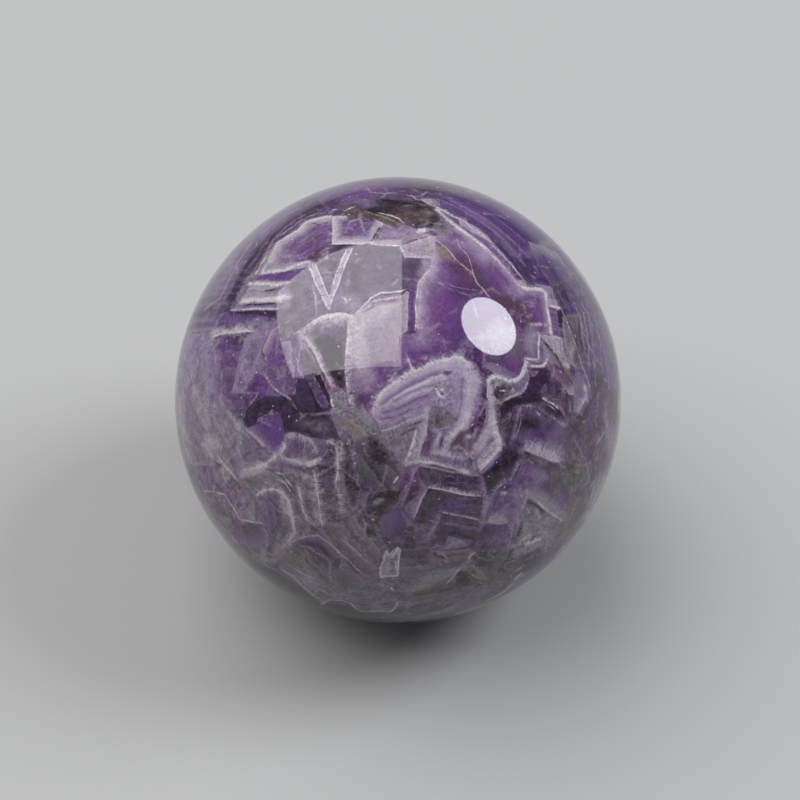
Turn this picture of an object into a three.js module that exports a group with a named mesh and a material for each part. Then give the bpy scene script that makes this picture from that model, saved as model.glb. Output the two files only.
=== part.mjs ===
// Amethyst sphere: a ball cut and polished from one piece of chevron amethyst.
//
// It is a single stone. It stands on a flat a few millimetres across, ground into its lowest point
// so that it stays where it is put down. Millimetres, +Z up, origin at the centre of that flat.
import * as THREE from "three";

// Driving dimensions
const DIAMETER = 65; // across the ball
const FOOT_DIAMETER = 6.4; // across the flat it stands on

// How finely the round surface is divided
const MERIDIANS = 80; // faces around the upright axis
const PARALLELS = 39; // rings of faces from the flat's edge to the top

// Sizes that follow
const RADIUS = DIAMETER / 2;
const FOOT_RADIUS = FOOT_DIAMETER / 2;
const FOOT_ANGLE = Math.asin(FOOT_RADIUS / RADIUS); // seen from the centre, half the flat's width
const CENTRE_HEIGHT = RADIUS * Math.cos(FOOT_ANGLE); // of the ball's centre above the flat

// Half of the upright section: out along the flat, then round the ball to the top of the axis.
function sectionOutline() {
  const points = [new THREE.Vector2(0, 0)];
  const sweep = Math.PI - FOOT_ANGLE;
  for (let ring = 0; ring < PARALLELS; ring += 1) {
    const angle = FOOT_ANGLE + (sweep * ring) / PARALLELS; // up from straight down
    const height = CENTRE_HEIGHT - RADIUS * Math.cos(angle);
    points.push(new THREE.Vector2(RADIUS * Math.sin(angle), height));
  }
  points.push(new THREE.Vector2(0, CENTRE_HEIGHT + RADIUS));
  return points;
}

// The lathe turns its section about Y, so the solid is tipped up to stand along Z.
function ballGeometry() {
  return new THREE.LatheGeometry(sectionOutline(), MERIDIANS).rotateX(Math.PI / 2);
}

const polishedAmethyst = new THREE.MeshStandardMaterial({
  color: 0x6a5478, // violet, greyed by milky growth bands
  roughness: 0.08,
  metalness: 0,
});

const ball = new THREE.Mesh(ballGeometry(), polishedAmethyst);
ball.name = "amethyst_sphere";

const amethystSphere = new THREE.Group();
amethystSphere.add(ball);

export default amethystSphere;
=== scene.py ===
"""Amethyst sphere: a ball of chevron amethyst, ground round, polished and stood on a small flat.

The stone's pattern is laid out crystal by crystal. Each crystal is an outline on the ball with some
of its edges marked as growth faces. The mesh is divided along the outlines, and every corner of it
carries its depth under those faces, from which the material draws the milky growth bands.
"""

import logging
import math
from dataclasses import dataclass, field
from enum import Enum
from typing import Any, Iterable, Sequence

import bpy
import numpy as np
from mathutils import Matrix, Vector, noise
from mathutils.geometry import delaunay_2d_cdt
from mathutils.kdtree import KDTree


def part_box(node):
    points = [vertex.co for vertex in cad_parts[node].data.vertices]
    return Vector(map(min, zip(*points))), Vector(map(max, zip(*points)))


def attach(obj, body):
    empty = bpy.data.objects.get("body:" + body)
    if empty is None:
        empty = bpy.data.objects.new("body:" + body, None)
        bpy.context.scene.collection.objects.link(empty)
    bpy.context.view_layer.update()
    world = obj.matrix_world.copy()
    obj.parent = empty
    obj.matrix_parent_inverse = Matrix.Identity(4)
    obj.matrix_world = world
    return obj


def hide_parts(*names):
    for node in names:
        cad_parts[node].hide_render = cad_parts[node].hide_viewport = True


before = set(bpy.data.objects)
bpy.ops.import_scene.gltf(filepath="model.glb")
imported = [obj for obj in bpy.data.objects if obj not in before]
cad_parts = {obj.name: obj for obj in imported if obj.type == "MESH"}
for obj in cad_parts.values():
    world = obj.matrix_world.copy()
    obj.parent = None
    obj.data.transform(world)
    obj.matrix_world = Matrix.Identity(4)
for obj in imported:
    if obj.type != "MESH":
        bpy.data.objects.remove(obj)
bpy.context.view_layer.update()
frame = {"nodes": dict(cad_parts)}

log = logging.getLogger("amethyst_sphere")

MM = 0.001  # metres in a millimetre
Point = tuple[float, float]


def linear(srgb: str) -> tuple[float, float, float]:
    """Turn an sRGB hex colour into linear light.

    Args:
        srgb: Six hex digits, such as "66457b".

    Returns:
        Red, green and blue from 0 to 1.
    """
    shares = [int(srgb[at : at + 2], 16) / 255 for at in (0, 2, 4)]
    return tuple(s / 12.92 if s <= 0.04045 else ((s + 0.055) / 1.055) ** 2.4 for s in shares)


def add_node(
    tree: bpy.types.NodeTree,
    kind: str,
    settings: dict[str | int, Any] | None = None,
    links: dict[str | int, bpy.types.NodeSocket] | None = None,
) -> bpy.types.Node:
    """Add a node with its settings and links.

    Args:
        tree: The tree that the node goes into.
        kind: The node's type name.
        settings: Values for the node's own settings, or for inputs by name or number.
        links: Output sockets that feed inputs, by the input's name or number.

    Returns:
        The new node.
    """
    node = tree.nodes.new(kind)
    for key, value in (settings or {}).items():
        if isinstance(key, str) and key in node.bl_rna.properties:
            setattr(node, key, value)
        else:
            node.inputs[key].default_value = value
    for key, socket in (links or {}).items():
        tree.links.new(socket, node.inputs[key])
    return node


@dataclass(frozen=True)
class Blank:
    """The ball as it leaves the lathe: its size, from the CAD model, and its foot. Millimetres."""

    radius: float
    foot_radius: float

    @property
    def foot_angle(self) -> float:
        """Half of the flat's width, seen from the ball's centre, in radians."""
        return math.asin(self.foot_radius / self.radius)

    @property
    def centre_height(self) -> float:
        """Height of the ball's centre above the flat."""
        return self.radius * math.cos(self.foot_angle)


@dataclass(frozen=True)
class FaceView:
    """The side of the stone that the camera looks at, and the plate of millimetres laid over it.

    A place on the plate is a pair of millimetres, to the right and upwards from the ball's centre,
    seen from the camera. The plate stands through the ball's centre, square to the line of sight.
    """

    blank: Blank
    elevation: float = 45.0  # degrees above the floor
    distance: float = 325.0  # from the camera to the ball's centre
    wrap: float = 2.2  # degrees round the ball for each millimetre past its outline

    def axes(self) -> np.ndarray:
        """Right, up and toward the camera, as three rows."""
        lift = math.radians(self.elevation)
        return np.array(
            [
                [1.0, 0.0, 0.0],
                [0.0, math.sin(lift), math.cos(lift)],
                [0.0, -math.cos(lift), math.sin(lift)],
            ]
        )

    def onto_ball(self, places: Iterable[Point]) -> np.ndarray:
        """Find where places on the plate lie on the ball.

        Args:
            places: Pairs of millimetres on the plate. Past the ball's outline they run on round it.

        Returns:
            One unit direction from the ball's centre a row.
        """
        plate = np.array(list(places), float)
        reach = np.maximum(np.hypot(plate[:, 0], plate[:, 1]), 1e-9)
        scale = self.blank.radius / self.distance
        limb = self.blank.radius / math.sqrt(1 - scale * scale)
        inside = np.minimum(reach, limb * 0.99995)
        slope = np.arctan(inside / self.distance)  # between the sight line and the axis
        turn = np.arcsin(np.clip(np.sin(slope) / scale, -1, 1)) - slope
        turn = turn + np.radians(self.wrap) * np.maximum(reach - limb, 0)
        spread = np.sin(turn) / reach
        local = np.stack([plate[:, 0] * spread, plate[:, 1] * spread, np.cos(turn)], 1)
        return local @ self.axes()

    def onto_plate(self, directions: np.ndarray) -> np.ndarray:
        """Find where points of the ball are seen on the plate.

        Args:
            directions: Unit directions, one a row.

        Returns:
            Right and up in mm, and the share of the way from the outline to the near point.
        """
        local = directions @ self.axes().T
        scale = self.blank.radius * self.distance / (self.distance - self.blank.radius * local[:, 2])
        return np.column_stack([local[:, :2] * scale[:, None], local[:, 2]])


class Bands(Enum):
    """The ways in which growth bands follow each other under a face, named for their look."""

    SHARP_RIM = 0
    FINE_STRIPES = 1
    NESTED_LINES = 2
    MILKY_STEPS = 3
    DARK_GAPS = 4
    CLOUDED = 5
    CLEAR = 6
    WHITE_EDGE = 7
    SOFT_EDGE = 8
    SPECKLED = 9


class Tint(Enum):
    """Colours of the stone as the eye sees them in the studio's light, in sRGB."""

    WHITE_LINE = "cdc6ce"
    MILK = "b3a1b3"
    FIBRE_WHITE = "b3a6b8"
    LILAC = "927f9f"
    PALE_VIOLET = "7d688f"
    VIOLET = "66407b"
    BLUE_VIOLET = "5b4573"
    ROYAL_VIOLET = "593d77"
    NIGHT_VIOLET = "43275a"
    PURPLE = "6a3d78"
    WINE = "4e2f50"
    MAGENTA = "674069"
    DEEP_VIOLET = "45364d"
    INK_VIOLET = "382d41"
    RED_BROWN = "51364e"
    DARK_BROWN = "443338"
    OCHRE = "84766d"
    UMBER = "5f5456"
    GREY_MILK = "918a95"
    GREY = "6b5e71"
    GREY_CLEAR = "564e59"
    SMOKE = "3a343b"
    VOID = "241e27"


@dataclass(frozen=True)
class Crystal:
    """One crystal cut by the ball's surface, with the faces that it grew by."""

    corners: np.ndarray  # unit directions, anticlockwise seen from outside
    growth: tuple[int, ...]  # edges that are growth faces, each from its corner to the next
    bands: Bands
    rim: Tint
    flesh: Tint
    core: Tint
    stretch: float = 1.0  # how much wider its bands are than the sequence's own
    start: float = 0.0  # depth into the sequence at which its face lies, in mm
    fibre: float = 0.0  # how strongly fibres cross its bands, 0 to 1
    shade: float = 1.0  # brightness of its colours
    busy: float = 0.6  # how full it is of fine growth lines and haze, 0 to 1.5

    def depth(self, places: np.ndarray, radius: float) -> np.ndarray:
        """Measure how far places lie from the crystal's growth edges, into its band sequence.

        Args:
            places: Unit directions in any shape, with the three coordinates last.
            radius: The ball's radius in mm.

        Returns:
            One depth in mm a place.
        """
        least = np.full(places.shape[:-1], 90.0)
        for edge in self.growth:
            start = self.corners[edge]
            run = self.corners[(edge + 1) % len(self.corners)] - start
            share = np.clip((places - start) @ run / (run @ run), 0, 1)
            away = np.linalg.norm(places - start - share[..., None] * run, axis=-1)
            least = np.minimum(least, away * radius)
        return least / self.stretch + self.start


def face_normals(corners: np.ndarray) -> np.ndarray:
    """Find the planes through the ball's centre that hold a polygon's edges.

    Args:
        corners: Unit directions, anticlockwise seen from outside.

    Returns:
        One unit normal an edge, which points into the polygon.
    """
    normals = np.cross(corners, np.roll(corners, -1, 0))
    return normals / np.linalg.norm(normals, axis=1)[:, None]


def turning_left(corners: np.ndarray) -> bool:
    """Whether a polygon of directions runs anticlockwise seen from outside."""
    middle = corners.mean(0)
    return float(np.sum(np.cross(corners, np.roll(corners, -1, 0)) @ middle)) > 0


def wandering(directions: np.ndarray, radius: float) -> np.ndarray:
    """Shift points on the ball a little, the same way wherever they lie close together.

    Args:
        directions: Unit directions, one a row.
        radius: The ball's radius in millimetres.

    Returns:
        The shifted unit directions.
    """
    moved = []
    for direction in directions:
        at = Vector(direction) * radius
        shift = noise.noise_vector(at * 0.45) * 0.15 + noise.noise_vector(at * 1.7) * 0.08
        moved.append((at + shift).normalized())
    return np.array(moved)

@dataclass(frozen=True)
class Laid:
    """One crystal as it's noted on the plate, in millimetres."""

    outline: tuple[Point, ...]
    growth: tuple[int, ...]
    bands: Bands
    rim: Tint
    flesh: Tint
    core: Tint
    nature: dict[str, float]

    def crystal(self, view: FaceView) -> Crystal:
        """Lay the crystal on the ball.

        Args:
            view: The plate and the ball under it.

        Returns:
            The crystal, with its corners anticlockwise.
        """
        corners = view.onto_ball(self.outline)
        growth = self.growth
        if not turning_left(corners):
            corners = corners[::-1]
            growth = tuple((len(corners) - 2 - edge) % len(corners) for edge in growth)
        return Crystal(corners, growth, self.bands, self.rim, self.flesh, self.core, **self.nature)


@dataclass(frozen=True)
class Vein:
    """A line or narrow band that runs over the crystals and fades to both sides."""

    tint: Tint
    places: tuple[Point, ...]  # on the plate
    width: float  # mm from its line to where it has faded, on its left
    back: float  # the same on its right
    amount: float  # how far it covers what lies under it, 0 to 1

    def edges(self, view: FaceView) -> tuple[np.ndarray, np.ndarray, np.ndarray]:
        """Find the vein's middle and both its edges.

        Args:
            view: The plate and the ball under it.

        Returns:
            Its middle, its left and its right edge, as rows of unit directions.
        """
        middle = view.onto_ball(self.places)
        run = np.gradient(middle, axis=0)
        side = np.cross(middle, run)
        side /= np.linalg.norm(side, axis=1)[:, None]
        near, far = self.width / view.blank.radius, self.back / view.blank.radius
        return middle, middle + side * near, middle - side * far


@dataclass(frozen=True)
class Cloud:
    """A soft oval patch of colour in the body of the stone."""

    tint: Tint
    place: Point  # on the plate
    size: Point  # half widths in mm
    turn: float  # degrees anticlockwise
    amount: float

    def strength(self, view: FaceView, directions: np.ndarray) -> np.ndarray:
        """Work out how strong the patch is at points of the ball.

        Args:
            view: The plate and the ball under it.
            directions: Unit directions, one a row.

        Returns:
            One strength a point, 0 to 1.
        """
        seen = view.onto_plate(directions)
        turn = math.radians(self.turn)
        right = seen[:, 0] - self.place[0]
        up = seen[:, 1] - self.place[1]
        x = (right * math.cos(turn) + up * math.sin(turn)) / self.size[0]
        y = (up * math.cos(turn) - right * math.sin(turn)) / self.size[1]
        rest = np.clip(1 - (x * x + y * y) / 1.6, 0, 1)
        facing = np.clip(seen[:, 2] / 0.2, 0, 1)
        return self.amount * rest * rest * (3 - 2 * rest) * facing


def cut(
    tints: str,
    bands: Bands,
    growth: Sequence[int],
    outline: Sequence[Point],
    **nature: float,
) -> Laid:
    """Note one crystal of the face.

    Args:
        tints: The tints' names: of its milky bands, of its body under a face, and further in.
        bands: How its bands follow each other.
        growth: Edges that are growth faces, counted from the outline's first corner.
        outline: Its corners on the plate, in mm.
        **nature: Stretch, start, fibre or shade, where they aren't the usual ones.

    Returns:
        The crystal as laid on the plate.
    """
    rim, flesh, core = (Tint[name] for name in tints.split())
    return Laid(tuple(outline), tuple(growth), bands, rim, flesh, core, nature)


# Crystals on the stone's face, from the ones that lie under others to the ones on top. Places are
# millimetres on the plate.
FACE_CRYSTALS = (
    # Behind the rest
    cut("LILAC BLUE_VIOLET INK_VIOLET", Bands.NESTED_LINES, (6, 7, 8), [
        (-9.5, 27.2), (-13.7, 26.3), (-18, 23.2), (-18.6, 21), (-21.3, 17.9), (-24.8, 13), (-27, 9.8),
        (-33, 9), (-24, 24), (-13, 31.5)], start=1.0),
    cut("LILAC VIOLET DEEP_VIOLET", Bands.NESTED_LINES, (3, 4), [
        (-10, 27.3), (0, 29.2), (13, 28.2), (15, 31), (0, 35.5), (-14, 31.5)], start=0.5),
    cut("PALE_VIOLET BLUE_VIOLET ROYAL_VIOLET", Bands.CLEAR, (), [
        (22.6, 16.4), (18.9, 16.9), (12, 24.9), (6.2, 28), (6, 29.6), (13, 29.5), (22, 25.5), (26, 19)],
        busy=0.1, shade=0.8),
    cut("GREY_MILK DEEP_VIOLET BLUE_VIOLET", Bands.CLEAR, (1, 2, 3), [
        (22.5, 16.5), (26, 19), (30, 12.6), (32.1, 5), (32.3, 0), (27, 0), (25, 3), (23, 6), (23.6, 13)],
        busy=0.8, shade=0.88),
    cut("LILAC DEEP_VIOLET MAGENTA", Bands.CLEAR, (2, 3), [
        (23, 2), (28, 2), (32.2, 1), (31, -9), (28.5, -14.5), (26, -14), (23.5, -9.5), (24.5, -5)], busy=1.0,
        shade=0.72),
    cut("GREY_MILK GREY GREY_CLEAR", Bands.CLEAR, (2, 3, 4), [
        (23.5, -9.5), (28.6, -9), (30, -11.5), (26, -19), (21, -24.5), (15, -27.5), (15, -21), (20, -18)],
        busy=1.1, shade=0.98),
    cut("GREY_MILK GREY_CLEAR GREY", Bands.CLEAR, (5, 6, 7, 8, 9), [
        (-16, -12), (0, -9.6), (8, -12), (14, -17), (17, -20), (16, -27.6), (9, -31), (0, -32.2), (-9, -31), (-19, -26),
        (-20, -20)], busy=1.0, shade=1.0),
    cut("MILK GREY GREY_CLEAR", Bands.CLOUDED, (1,), [
        (-11.6, -18.8), (-6.4, -16.9), (-4.3, -20), (-2.6, -22), (-3, -26), (-8, -28.7), (-8.8, -25), (-8.3, -23.1)],
        busy=1.0, stretch=1.4, shade=0.85),
    cut("LILAC DEEP_VIOLET GREY_CLEAR", Bands.CLEAR, (0,), [
        (0.4, -15.6), (2.1, -17.9), (5, -18), (4.4, -24.2), (0.4, -25), (-1, -22), (-2.4, -20.3)], busy=0.9),
    cut("GREY_MILK GREY SMOKE", Bands.CLOUDED, (0,), [
        (0.4, -24.4), (5, -24), (8.4, -25.4), (8, -29.6), (3, -30.4), (0.4, -27)], busy=1.0, shade=1.05),
    cut("GREY_MILK SMOKE GREY_CLEAR", Bands.CLEAR, (3,), [
        (10.4, -21.2), (16.6, -21.4), (16.5, -24.4), (13, -27.6), (10.8, -27), (10.6, -24)], busy=1.1),
    cut("GREY_MILK GREY_CLEAR GREY", Bands.CLEAR, (6, 7), [
        (-24.5, -20.8), (-22.9, -20.5), (-19.5, -20.6), (-17.4, -23.8), (-14, -26.5), (-11.3, -29), (-12, -30),
        (-19, -26)], busy=1.0),
    # The left limb's crystals have raised shades: their pale grey is partly the stone's own, partly painted light
    # coming through the stone from the softbox side.
    cut("GREY_MILK GREY MAGENTA", Bands.CLEAR, (6, 7), [
        (-30.6, -9), (-26.6, -8.8), (-24, -10), (-22.6, -13), (-22.4, -17.5), (-22.8, -21), (-24.8, -20.6),
        (-28.6, -14.6)], busy=0.9, shade=1.5),
    cut("GREY_MILK GREY_MILK GREY", Bands.CLEAR, (6,), [
        (-32.2, 1), (-27, 2.4), (-24.6, -1.6), (-22.4, -5), (-23.2, -7.4), (-25, -9.4), (-30.6, -9.4)],
        busy=0.5, shade=1.42),
    cut("GREY_MILK GREY PALE_VIOLET", Bands.CLEAR, (0,), [
        (-32.2, 1), (-31, 9.4), (-27, 9.8), (-25.6, 6), (-25.4, 1), (-26.6, -1)], busy=0.6, shade=1.2),
    cut("GREY_MILK PALE_VIOLET BLUE_VIOLET", Bands.SOFT_EDGE, (0,), [
        (23.4, 21.4), (19, 23.2), (20.4, 19.6), (22.6, 16.4), (25.4, 17.6)], stretch=0.7, busy=0.3, shade=0.85),
    # The violet field in the middle
    cut("MILK VIOLET VIOLET", Bands.SOFT_EDGE, (8, 9, 10, 11), [
        (2.4, 9.8), (3.0, 17.4), (4.9, 19.2), (5.0, 21), (4.2, 21.6), (4.0, 23), (5.2, 24.0), (8.0, 24.2),
        (8.3, 25.5), (18.1, 16.5), (21.6, 16.2), (21.9, 14), (22.4, 9.6), (20.8, 9.9), (20.4, 6.2),
        (18.7, 6.2), (17.6, 3.4), (14.5, 3.6), (12.6, 4.9), (11.5, 3.6), (8, 5.9), (5, 4.9), (0, 2.2),
        (-3.3, 0.0), (-3.8, -1.8), (-7.4, -1), (-7.4, 5.2), (0.1, 5.8), (0.3, 9.4)], stretch=0.4, busy=0.12,
        shade=0.92),
    # Milky panels to its left
    cut("MILK MILK LILAC", Bands.SOFT_EDGE, (5, 6), [
        (-7.4, 11.9), (-6.3, 12.3), (-3.8, 14.0), (-0.4, 14.6), (1.3, 16.0), (1.7, 15.7), (1.4, 10.1),
        (0.2, 9.3), (0.1, 5.9), (-7.4, 5.0), (-7.7, 8)], stretch=1.2, shade=0.76, busy=0.2),
    cut("LILAC PALE_VIOLET GREY", Bands.CLOUDED, (0,), [
        (-10.0, 13.6), (-6.4, 12.6), (-2.6, 15.4), (1.3, 16.2), (3.4, 17.6), (4.7, 19.2), (4.9, 20.8),
        (0.8, 21.0), (0.3, 22.5), (-3.9, 22.7), (-7.0, 22.0), (-9.7, 15.8)], shade=0.62, busy=0.4),
    cut("FIBRE_WHITE MILK GREY_MILK", Bands.CLOUDED, (0,), [
        (0.3, 22.6), (0.9, 20.9), (5, 20.9), (5.1, 19.2), (5.6, 23.9), (4.1, 24.2)], shade=0.92),
    cut("LILAC BLUE_VIOLET BLUE_VIOLET", Bands.CLEAR, (), [
        (1.7, 16.2), (2.7, 17.0), (2.7, 14.6), (2.3, 12), (2.2, 10.1), (1.3, 10.1), (1.5, 13)], shade=1.2),
    # The white V and what it holds
    cut("LILAC PALE_VIOLET GREY", Bands.CLOUDED, (), [
        (-18, 13), (-17.5, 16), (-13.1, 19.6), (-12.6, 20), (-10.2, 14.2), (-9.8, 13), (-14.5, 10.2),
        (-17.5, 8), (-19, 10)], shade=1.0, busy=0.6),
    cut("LILAC LILAC PALE_VIOLET", Bands.CLEAR, (), [
        (-16, 17.2), (-13.1, 19.6), (-12.4, 19.9), (-10.3, 14.2), (-11.8, 12.1), (-12.6, 16), (-14, 17)],
        shade=0.68, busy=0.3),
    cut("MILK PALE_VIOLET RED_BROWN", Bands.CLEAR, (), [
        (-12.3, 20.0), (-10.2, 14.8), (-7.2, 22.0), (-4.2, 22.7), (-9.4, 22.8), (-9.6, 22.6), (-10.3, 21.9),
        (-10.5, 20.4)], shade=0.8, busy=0.3),
    # The magenta crystal and its small neighbour
    cut("WHITE_LINE MAGENTA VIOLET", Bands.SOFT_EDGE, (0, 1, 2, 3, 4, 5), [
        (-9.7, 27.0), (-12.9, 26.4), (-13.7, 26.0), (-14.4, 25.0), (-17.7, 23.1), (-18.4, 21.6),
        (-20.0, 18.3), (-16, 18.9), (-13.1, 20.2), (-12.1, 19.8), (-10.4, 20.4), (-10.2, 21.9), (-9.5, 22.6)],
        stretch=0.65),
    cut("WHITE_LINE VIOLET BLUE_VIOLET", Bands.SOFT_EDGE, (0, 1, 4, 5), [
        (-9.6, 22.8), (-3.7, 22.9), (-2.1, 25.8), (-3.3, 26.5), (-8.8, 27.0), (-9.6, 26.9)], stretch=0.45),
    cut("LILAC VIOLET BLUE_VIOLET", Bands.WHITE_EDGE, (1, 2, 3), [
        (-7.9, 24.4), (-4.6, 24.4), (-5.4, 26.5), (-7.1, 26.3)]),
    cut("MILK LILAC PALE_VIOLET", Bands.CLOUDED, (0, 1, 2), [
        (-3.6, 22.95), (-1.0, 22.7), (0.5, 22.8), (4.1, 24.2), (3.0, 24.9), (0.9, 25.7), (-0.2, 24.9),
        (-0.9, 25.3), (-2.1, 25.9)], shade=0.85),
    cut("OCHRE UMBER VOID", Bands.CLEAR, (), [
        (-8.2, 28.1), (-7.3, 26.3), (-5.3, 26.5), (-4.9, 26.0), (-3.3, 26.4), (-0.9, 25.3), (-0.2, 24.9),
        (0.8, 25.7), (3.3, 25.0), (5, 25.0), (6.2, 26.5), (5.6, 28.2), (3.5, 28.8), (0, 29.3), (-5, 29.3)]),
    cut("GREY_MILK UMBER SMOKE", Bands.CLOUDED, (1,), [
        (5.0, 25.0), (7.9, 24.1), (7.6, 26), (6.2, 26.2), (5.4, 25.9)]),
    cut("LILAC PALE_VIOLET MAGENTA", Bands.SOFT_EDGE, (0,), [
        (7.9, 24.1), (8.0, 25.6), (6.3, 28), (5.4, 28.1), (6.3, 26.4), (7.5, 25.9)], shade=0.75),
    # Stripes below the magenta crystal
    cut("WHITE_LINE LILAC VIOLET", Bands.MILKY_STEPS, (0,), [
        (-19.9, 18.4), (-16.4, 18.9), (-13.2, 19.5), (-13.2, 20.3), (-16, 20.1), (-19.2, 19.8)], fibre=0.5,
        shade=0.82),
    cut("LILAC VIOLET INK_VIOLET", Bands.CLEAR, (0,), [
        (-21, 17.3), (-15.8, 17.3), (-13.2, 19.3), (-18, 18.5), (-20.2, 18.2)], fibre=0.5),
    cut("WHITE_LINE LILAC VIOLET", Bands.MILKY_STEPS, (0,), [
        (-22.2, 16.0), (-19.3, 16.1), (-16.2, 16.9), (-15.5, 17.3), (-20.8, 17.5)], fibre=0.6, shade=0.82),
    cut("WHITE_LINE LILAC VIOLET", Bands.MILKY_STEPS, (0,), [
        (-23.4, 14.1), (-16.8, 14.3), (-17.3, 16.1), (-19, 15.9), (-22.2, 16.0)], fibre=0.6, shade=0.85),
    cut("LILAC PALE_VIOLET DEEP_VIOLET", Bands.FINE_STRIPES, (0,), [
        (-24.8, 13.0), (-16.4, 13.4), (-15.4, 14.2), (-23.6, 14.1)], start=0.3),
    cut("LILAC BLUE_VIOLET BLUE_VIOLET", Bands.CLEAR, (), [
        (-27, 12), (-25, 13), (-17.8, 13.3), (-17.8, 11.2), (-20, 10.2), (-22, 9.4), (-26.8, 9.4)],
        shade=1.2),
    cut("VIOLET INK_VIOLET INK_VIOLET", Bands.CLEAR, (), [
        (-25, 13), (-17.4, 13.35), (-17.7, 11.8), (-21, 12.5), (-24.8, 12.5)], shade=1.2),
    # The left side
    cut("LILAC VIOLET DEEP_VIOLET", Bands.DARK_GAPS, (2,), [
        (-27, 8), (-26.5, 9), (-24.8, 9.3), (-22.2, 9.3), (-23, 6.5), (-24, 3), (-24.3, 1.2), (-22.6, 1.0),
        (-22.3, -1.2), (-25, -1.5), (-25.8, 0), (-25.6, 4), (-25.8, 6.5), (-26.4, 7)], stretch=1.5, start=0.4,
        shade=1.15),
    cut("VIOLET DEEP_VIOLET INK_VIOLET", Bands.CLEAR, (), [
        (-24.8, 9.35), (-22.2, 9.35), (-22.9, 7.9), (-25.0, 8.2), (-25.6, 9.1)]),
    cut("LILAC LILAC PALE_VIOLET", Bands.WHITE_EDGE, (0, 1), [
        (-22.2, 9.3), (-24.2, 1.2), (-22.7, 1.1), (-20.5, 1), (-18.6, 2.4), (-19.8, 7.5), (-18.2, 10.8),
        (-17.9, 12), (-21, 10.2)]),
    cut("MILK VIOLET VIOLET", Bands.SOFT_EDGE, (4,), [
        (-17.2, 8.6), (-15.0, 3.1), (-16.8, 3.5), (-18.9, 5.3), (-19.8, 7.2), (-18.4, 10.3), (-17.4, 11)],
        stretch=0.4, shade=0.95),
    cut("LILAC PALE_VIOLET VIOLET", Bands.SPECKLED, (), [
        (-20.2, 4.7), (-18.7, 5.5), (-16.5, 3.8), (-15.1, 3.1), (-15.2, 0.6), (-17, 0.6), (-19.8, 3.6)],
        shade=0.85),
    cut("LILAC VIOLET VIOLET", Bands.CLEAR, (), [
        (-22.6, 1), (-20.6, 4.2), (-19.7, 3.5), (-17, 0.7), (-19.5, 0.4), (-21.9, -1.2)]),
    # Dark ground left of the middle
    cut("DEEP_VIOLET INK_VIOLET INK_VIOLET", Bands.CLEAR, (), [
        (-22.5, -4.3), (-22.3, -1.6), (-21.2, -0.2), (-19.5, 0.5), (-15.2, 0.7), (-14.7, 3.2), (-13.4, 3.2),
        (-11, -2), (-9.6, -2.8), (-8.3, -5.9), (-16.3, -4.9), (-19, -8)], shade=1.12),
    cut("LILAC BLUE_VIOLET ROYAL_VIOLET", Bands.SOFT_EDGE, (7,), [
        (-22.3, -4.3), (-20.7, -3.4), (-19.3, -3), (-17.2, -1.8), (-16.6, -4.5), (-16.9, -6.6),
        (-18.6, -7.8), (-19.8, -7.1)], stretch=0.5, shade=1.22, busy=0.2),
    cut("LILAC ROYAL_VIOLET BLUE_VIOLET", Bands.CLEAR, (), [
        (-20.8, -3.3), (-20.3, -1.7), (-19.3, -2.0), (-18.4, -1.3), (-17.3, -2.0), (-19.2, -2.9)], shade=1.45),
    cut("GREY_MILK GREY_CLEAR GREY_CLEAR", Bands.CLEAR, (), [
        (-13, 7.5), (-12, 9.4), (-10.5, 9.7), (-8.5, 8.8), (-7.6, 7.7), (-7.5, 4.7), (-8.3, 4.5),
        (-11, 4.1), (-12.3, 6)], shade=0.65, busy=0.1),
    cut("GREY_MILK SMOKE VOID", Bands.CLEAR, (), [
        (-10.2, 4.3), (-8.5, 4.6), (-7.4, 4.6), (-7.3, 3), (-7.9, 1.6), (-9, 1.8)], shade=0.8),
    cut("GREY_MILK GREY GREY", Bands.CLEAR, (4,), [
        (-14.4, 7.4), (-13.5, 7.4), (-11.4, 4.2), (-12.4, 3.4), (-13.6, 3.1), (-14.5, 5.5)], shade=0.7),
    cut("GREY_MILK GREY UMBER", Bands.SPECKLED, (), [
        (-9.8, 1.0), (-8.2, 1.4), (-7.2, 0.9), (-7.4, -1), (-4.0, -1.9), (-3.8, -2.6), (-2.8, -4.4),
        (-3.6, -6), (-6, -6), (-9.6, -2.9), (-9.5, -1)], shade=1.25),
    cut("PALE_VIOLET DEEP_VIOLET DEEP_VIOLET", Bands.CLEAR, (), [
        (-13.5, 3.2), (-12.3, 3.4), (-9.9, -0.6), (-9.8, -2.9), (-10.9, -1.9), (-12.9, 2)], shade=1.5),
    cut("VOID VOID VOID", Bands.CLEAR, (), [
        (-12.3, 3.5), (-11.4, 3.7), (-9.6, -0.5), (-9.9, -0.9), (-11.4, 2)]),
    cut("VOID VOID VOID", Bands.CLEAR, (), [
        (-13.0, 1.9), (-11.0, -1.6), (-10.3, -2.7), (-12.1, -2.3), (-12.3, -0.2)]),
    # Right of the violet field
    cut("LILAC VIOLET VIOLET", Bands.FINE_STRIPES, (0,), [
        (22.0, 14.0), (23.1, 13.5), (23.4, 11), (24, 10.5), (23.7, 9.3), (22.4, 9.3)], start=0.3),
    cut("VOID VOID VOID", Bands.CLEAR, (), [
        (23.2, 13.1), (24.0, 13.1), (24.1, 12.0), (23.9, 11.1), (23.45, 11.3)]),
    cut("LILAC PALE_VIOLET GREY", Bands.WHITE_EDGE, (0,), [
        (21.8, 5.4), (21.3, 8.3), (20.6, 9.4), (20.4, 6.1), (19.8, 5.4)]),
    cut("MILK MILK GREY_MILK", Bands.SPECKLED, (), [
        (20.7, 9.6), (24, 9.2), (24.3, 7), (25.2, 4.6), (24, 5), (22.6, 7), (21.4, 8.6)], shade=1.2),
    cut("GREY_MILK GREY GREY_CLEAR", Bands.FINE_STRIPES, (0,), [
        (24.0, 12.2), (24.3, 8), (25.4, 5.2), (27.3, 4), (26.6, 9), (26.3, 12.6)], fibre=0.8),
    cut("LILAC DEEP_VIOLET BLUE_VIOLET", Bands.NESTED_LINES, (0,), [
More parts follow.
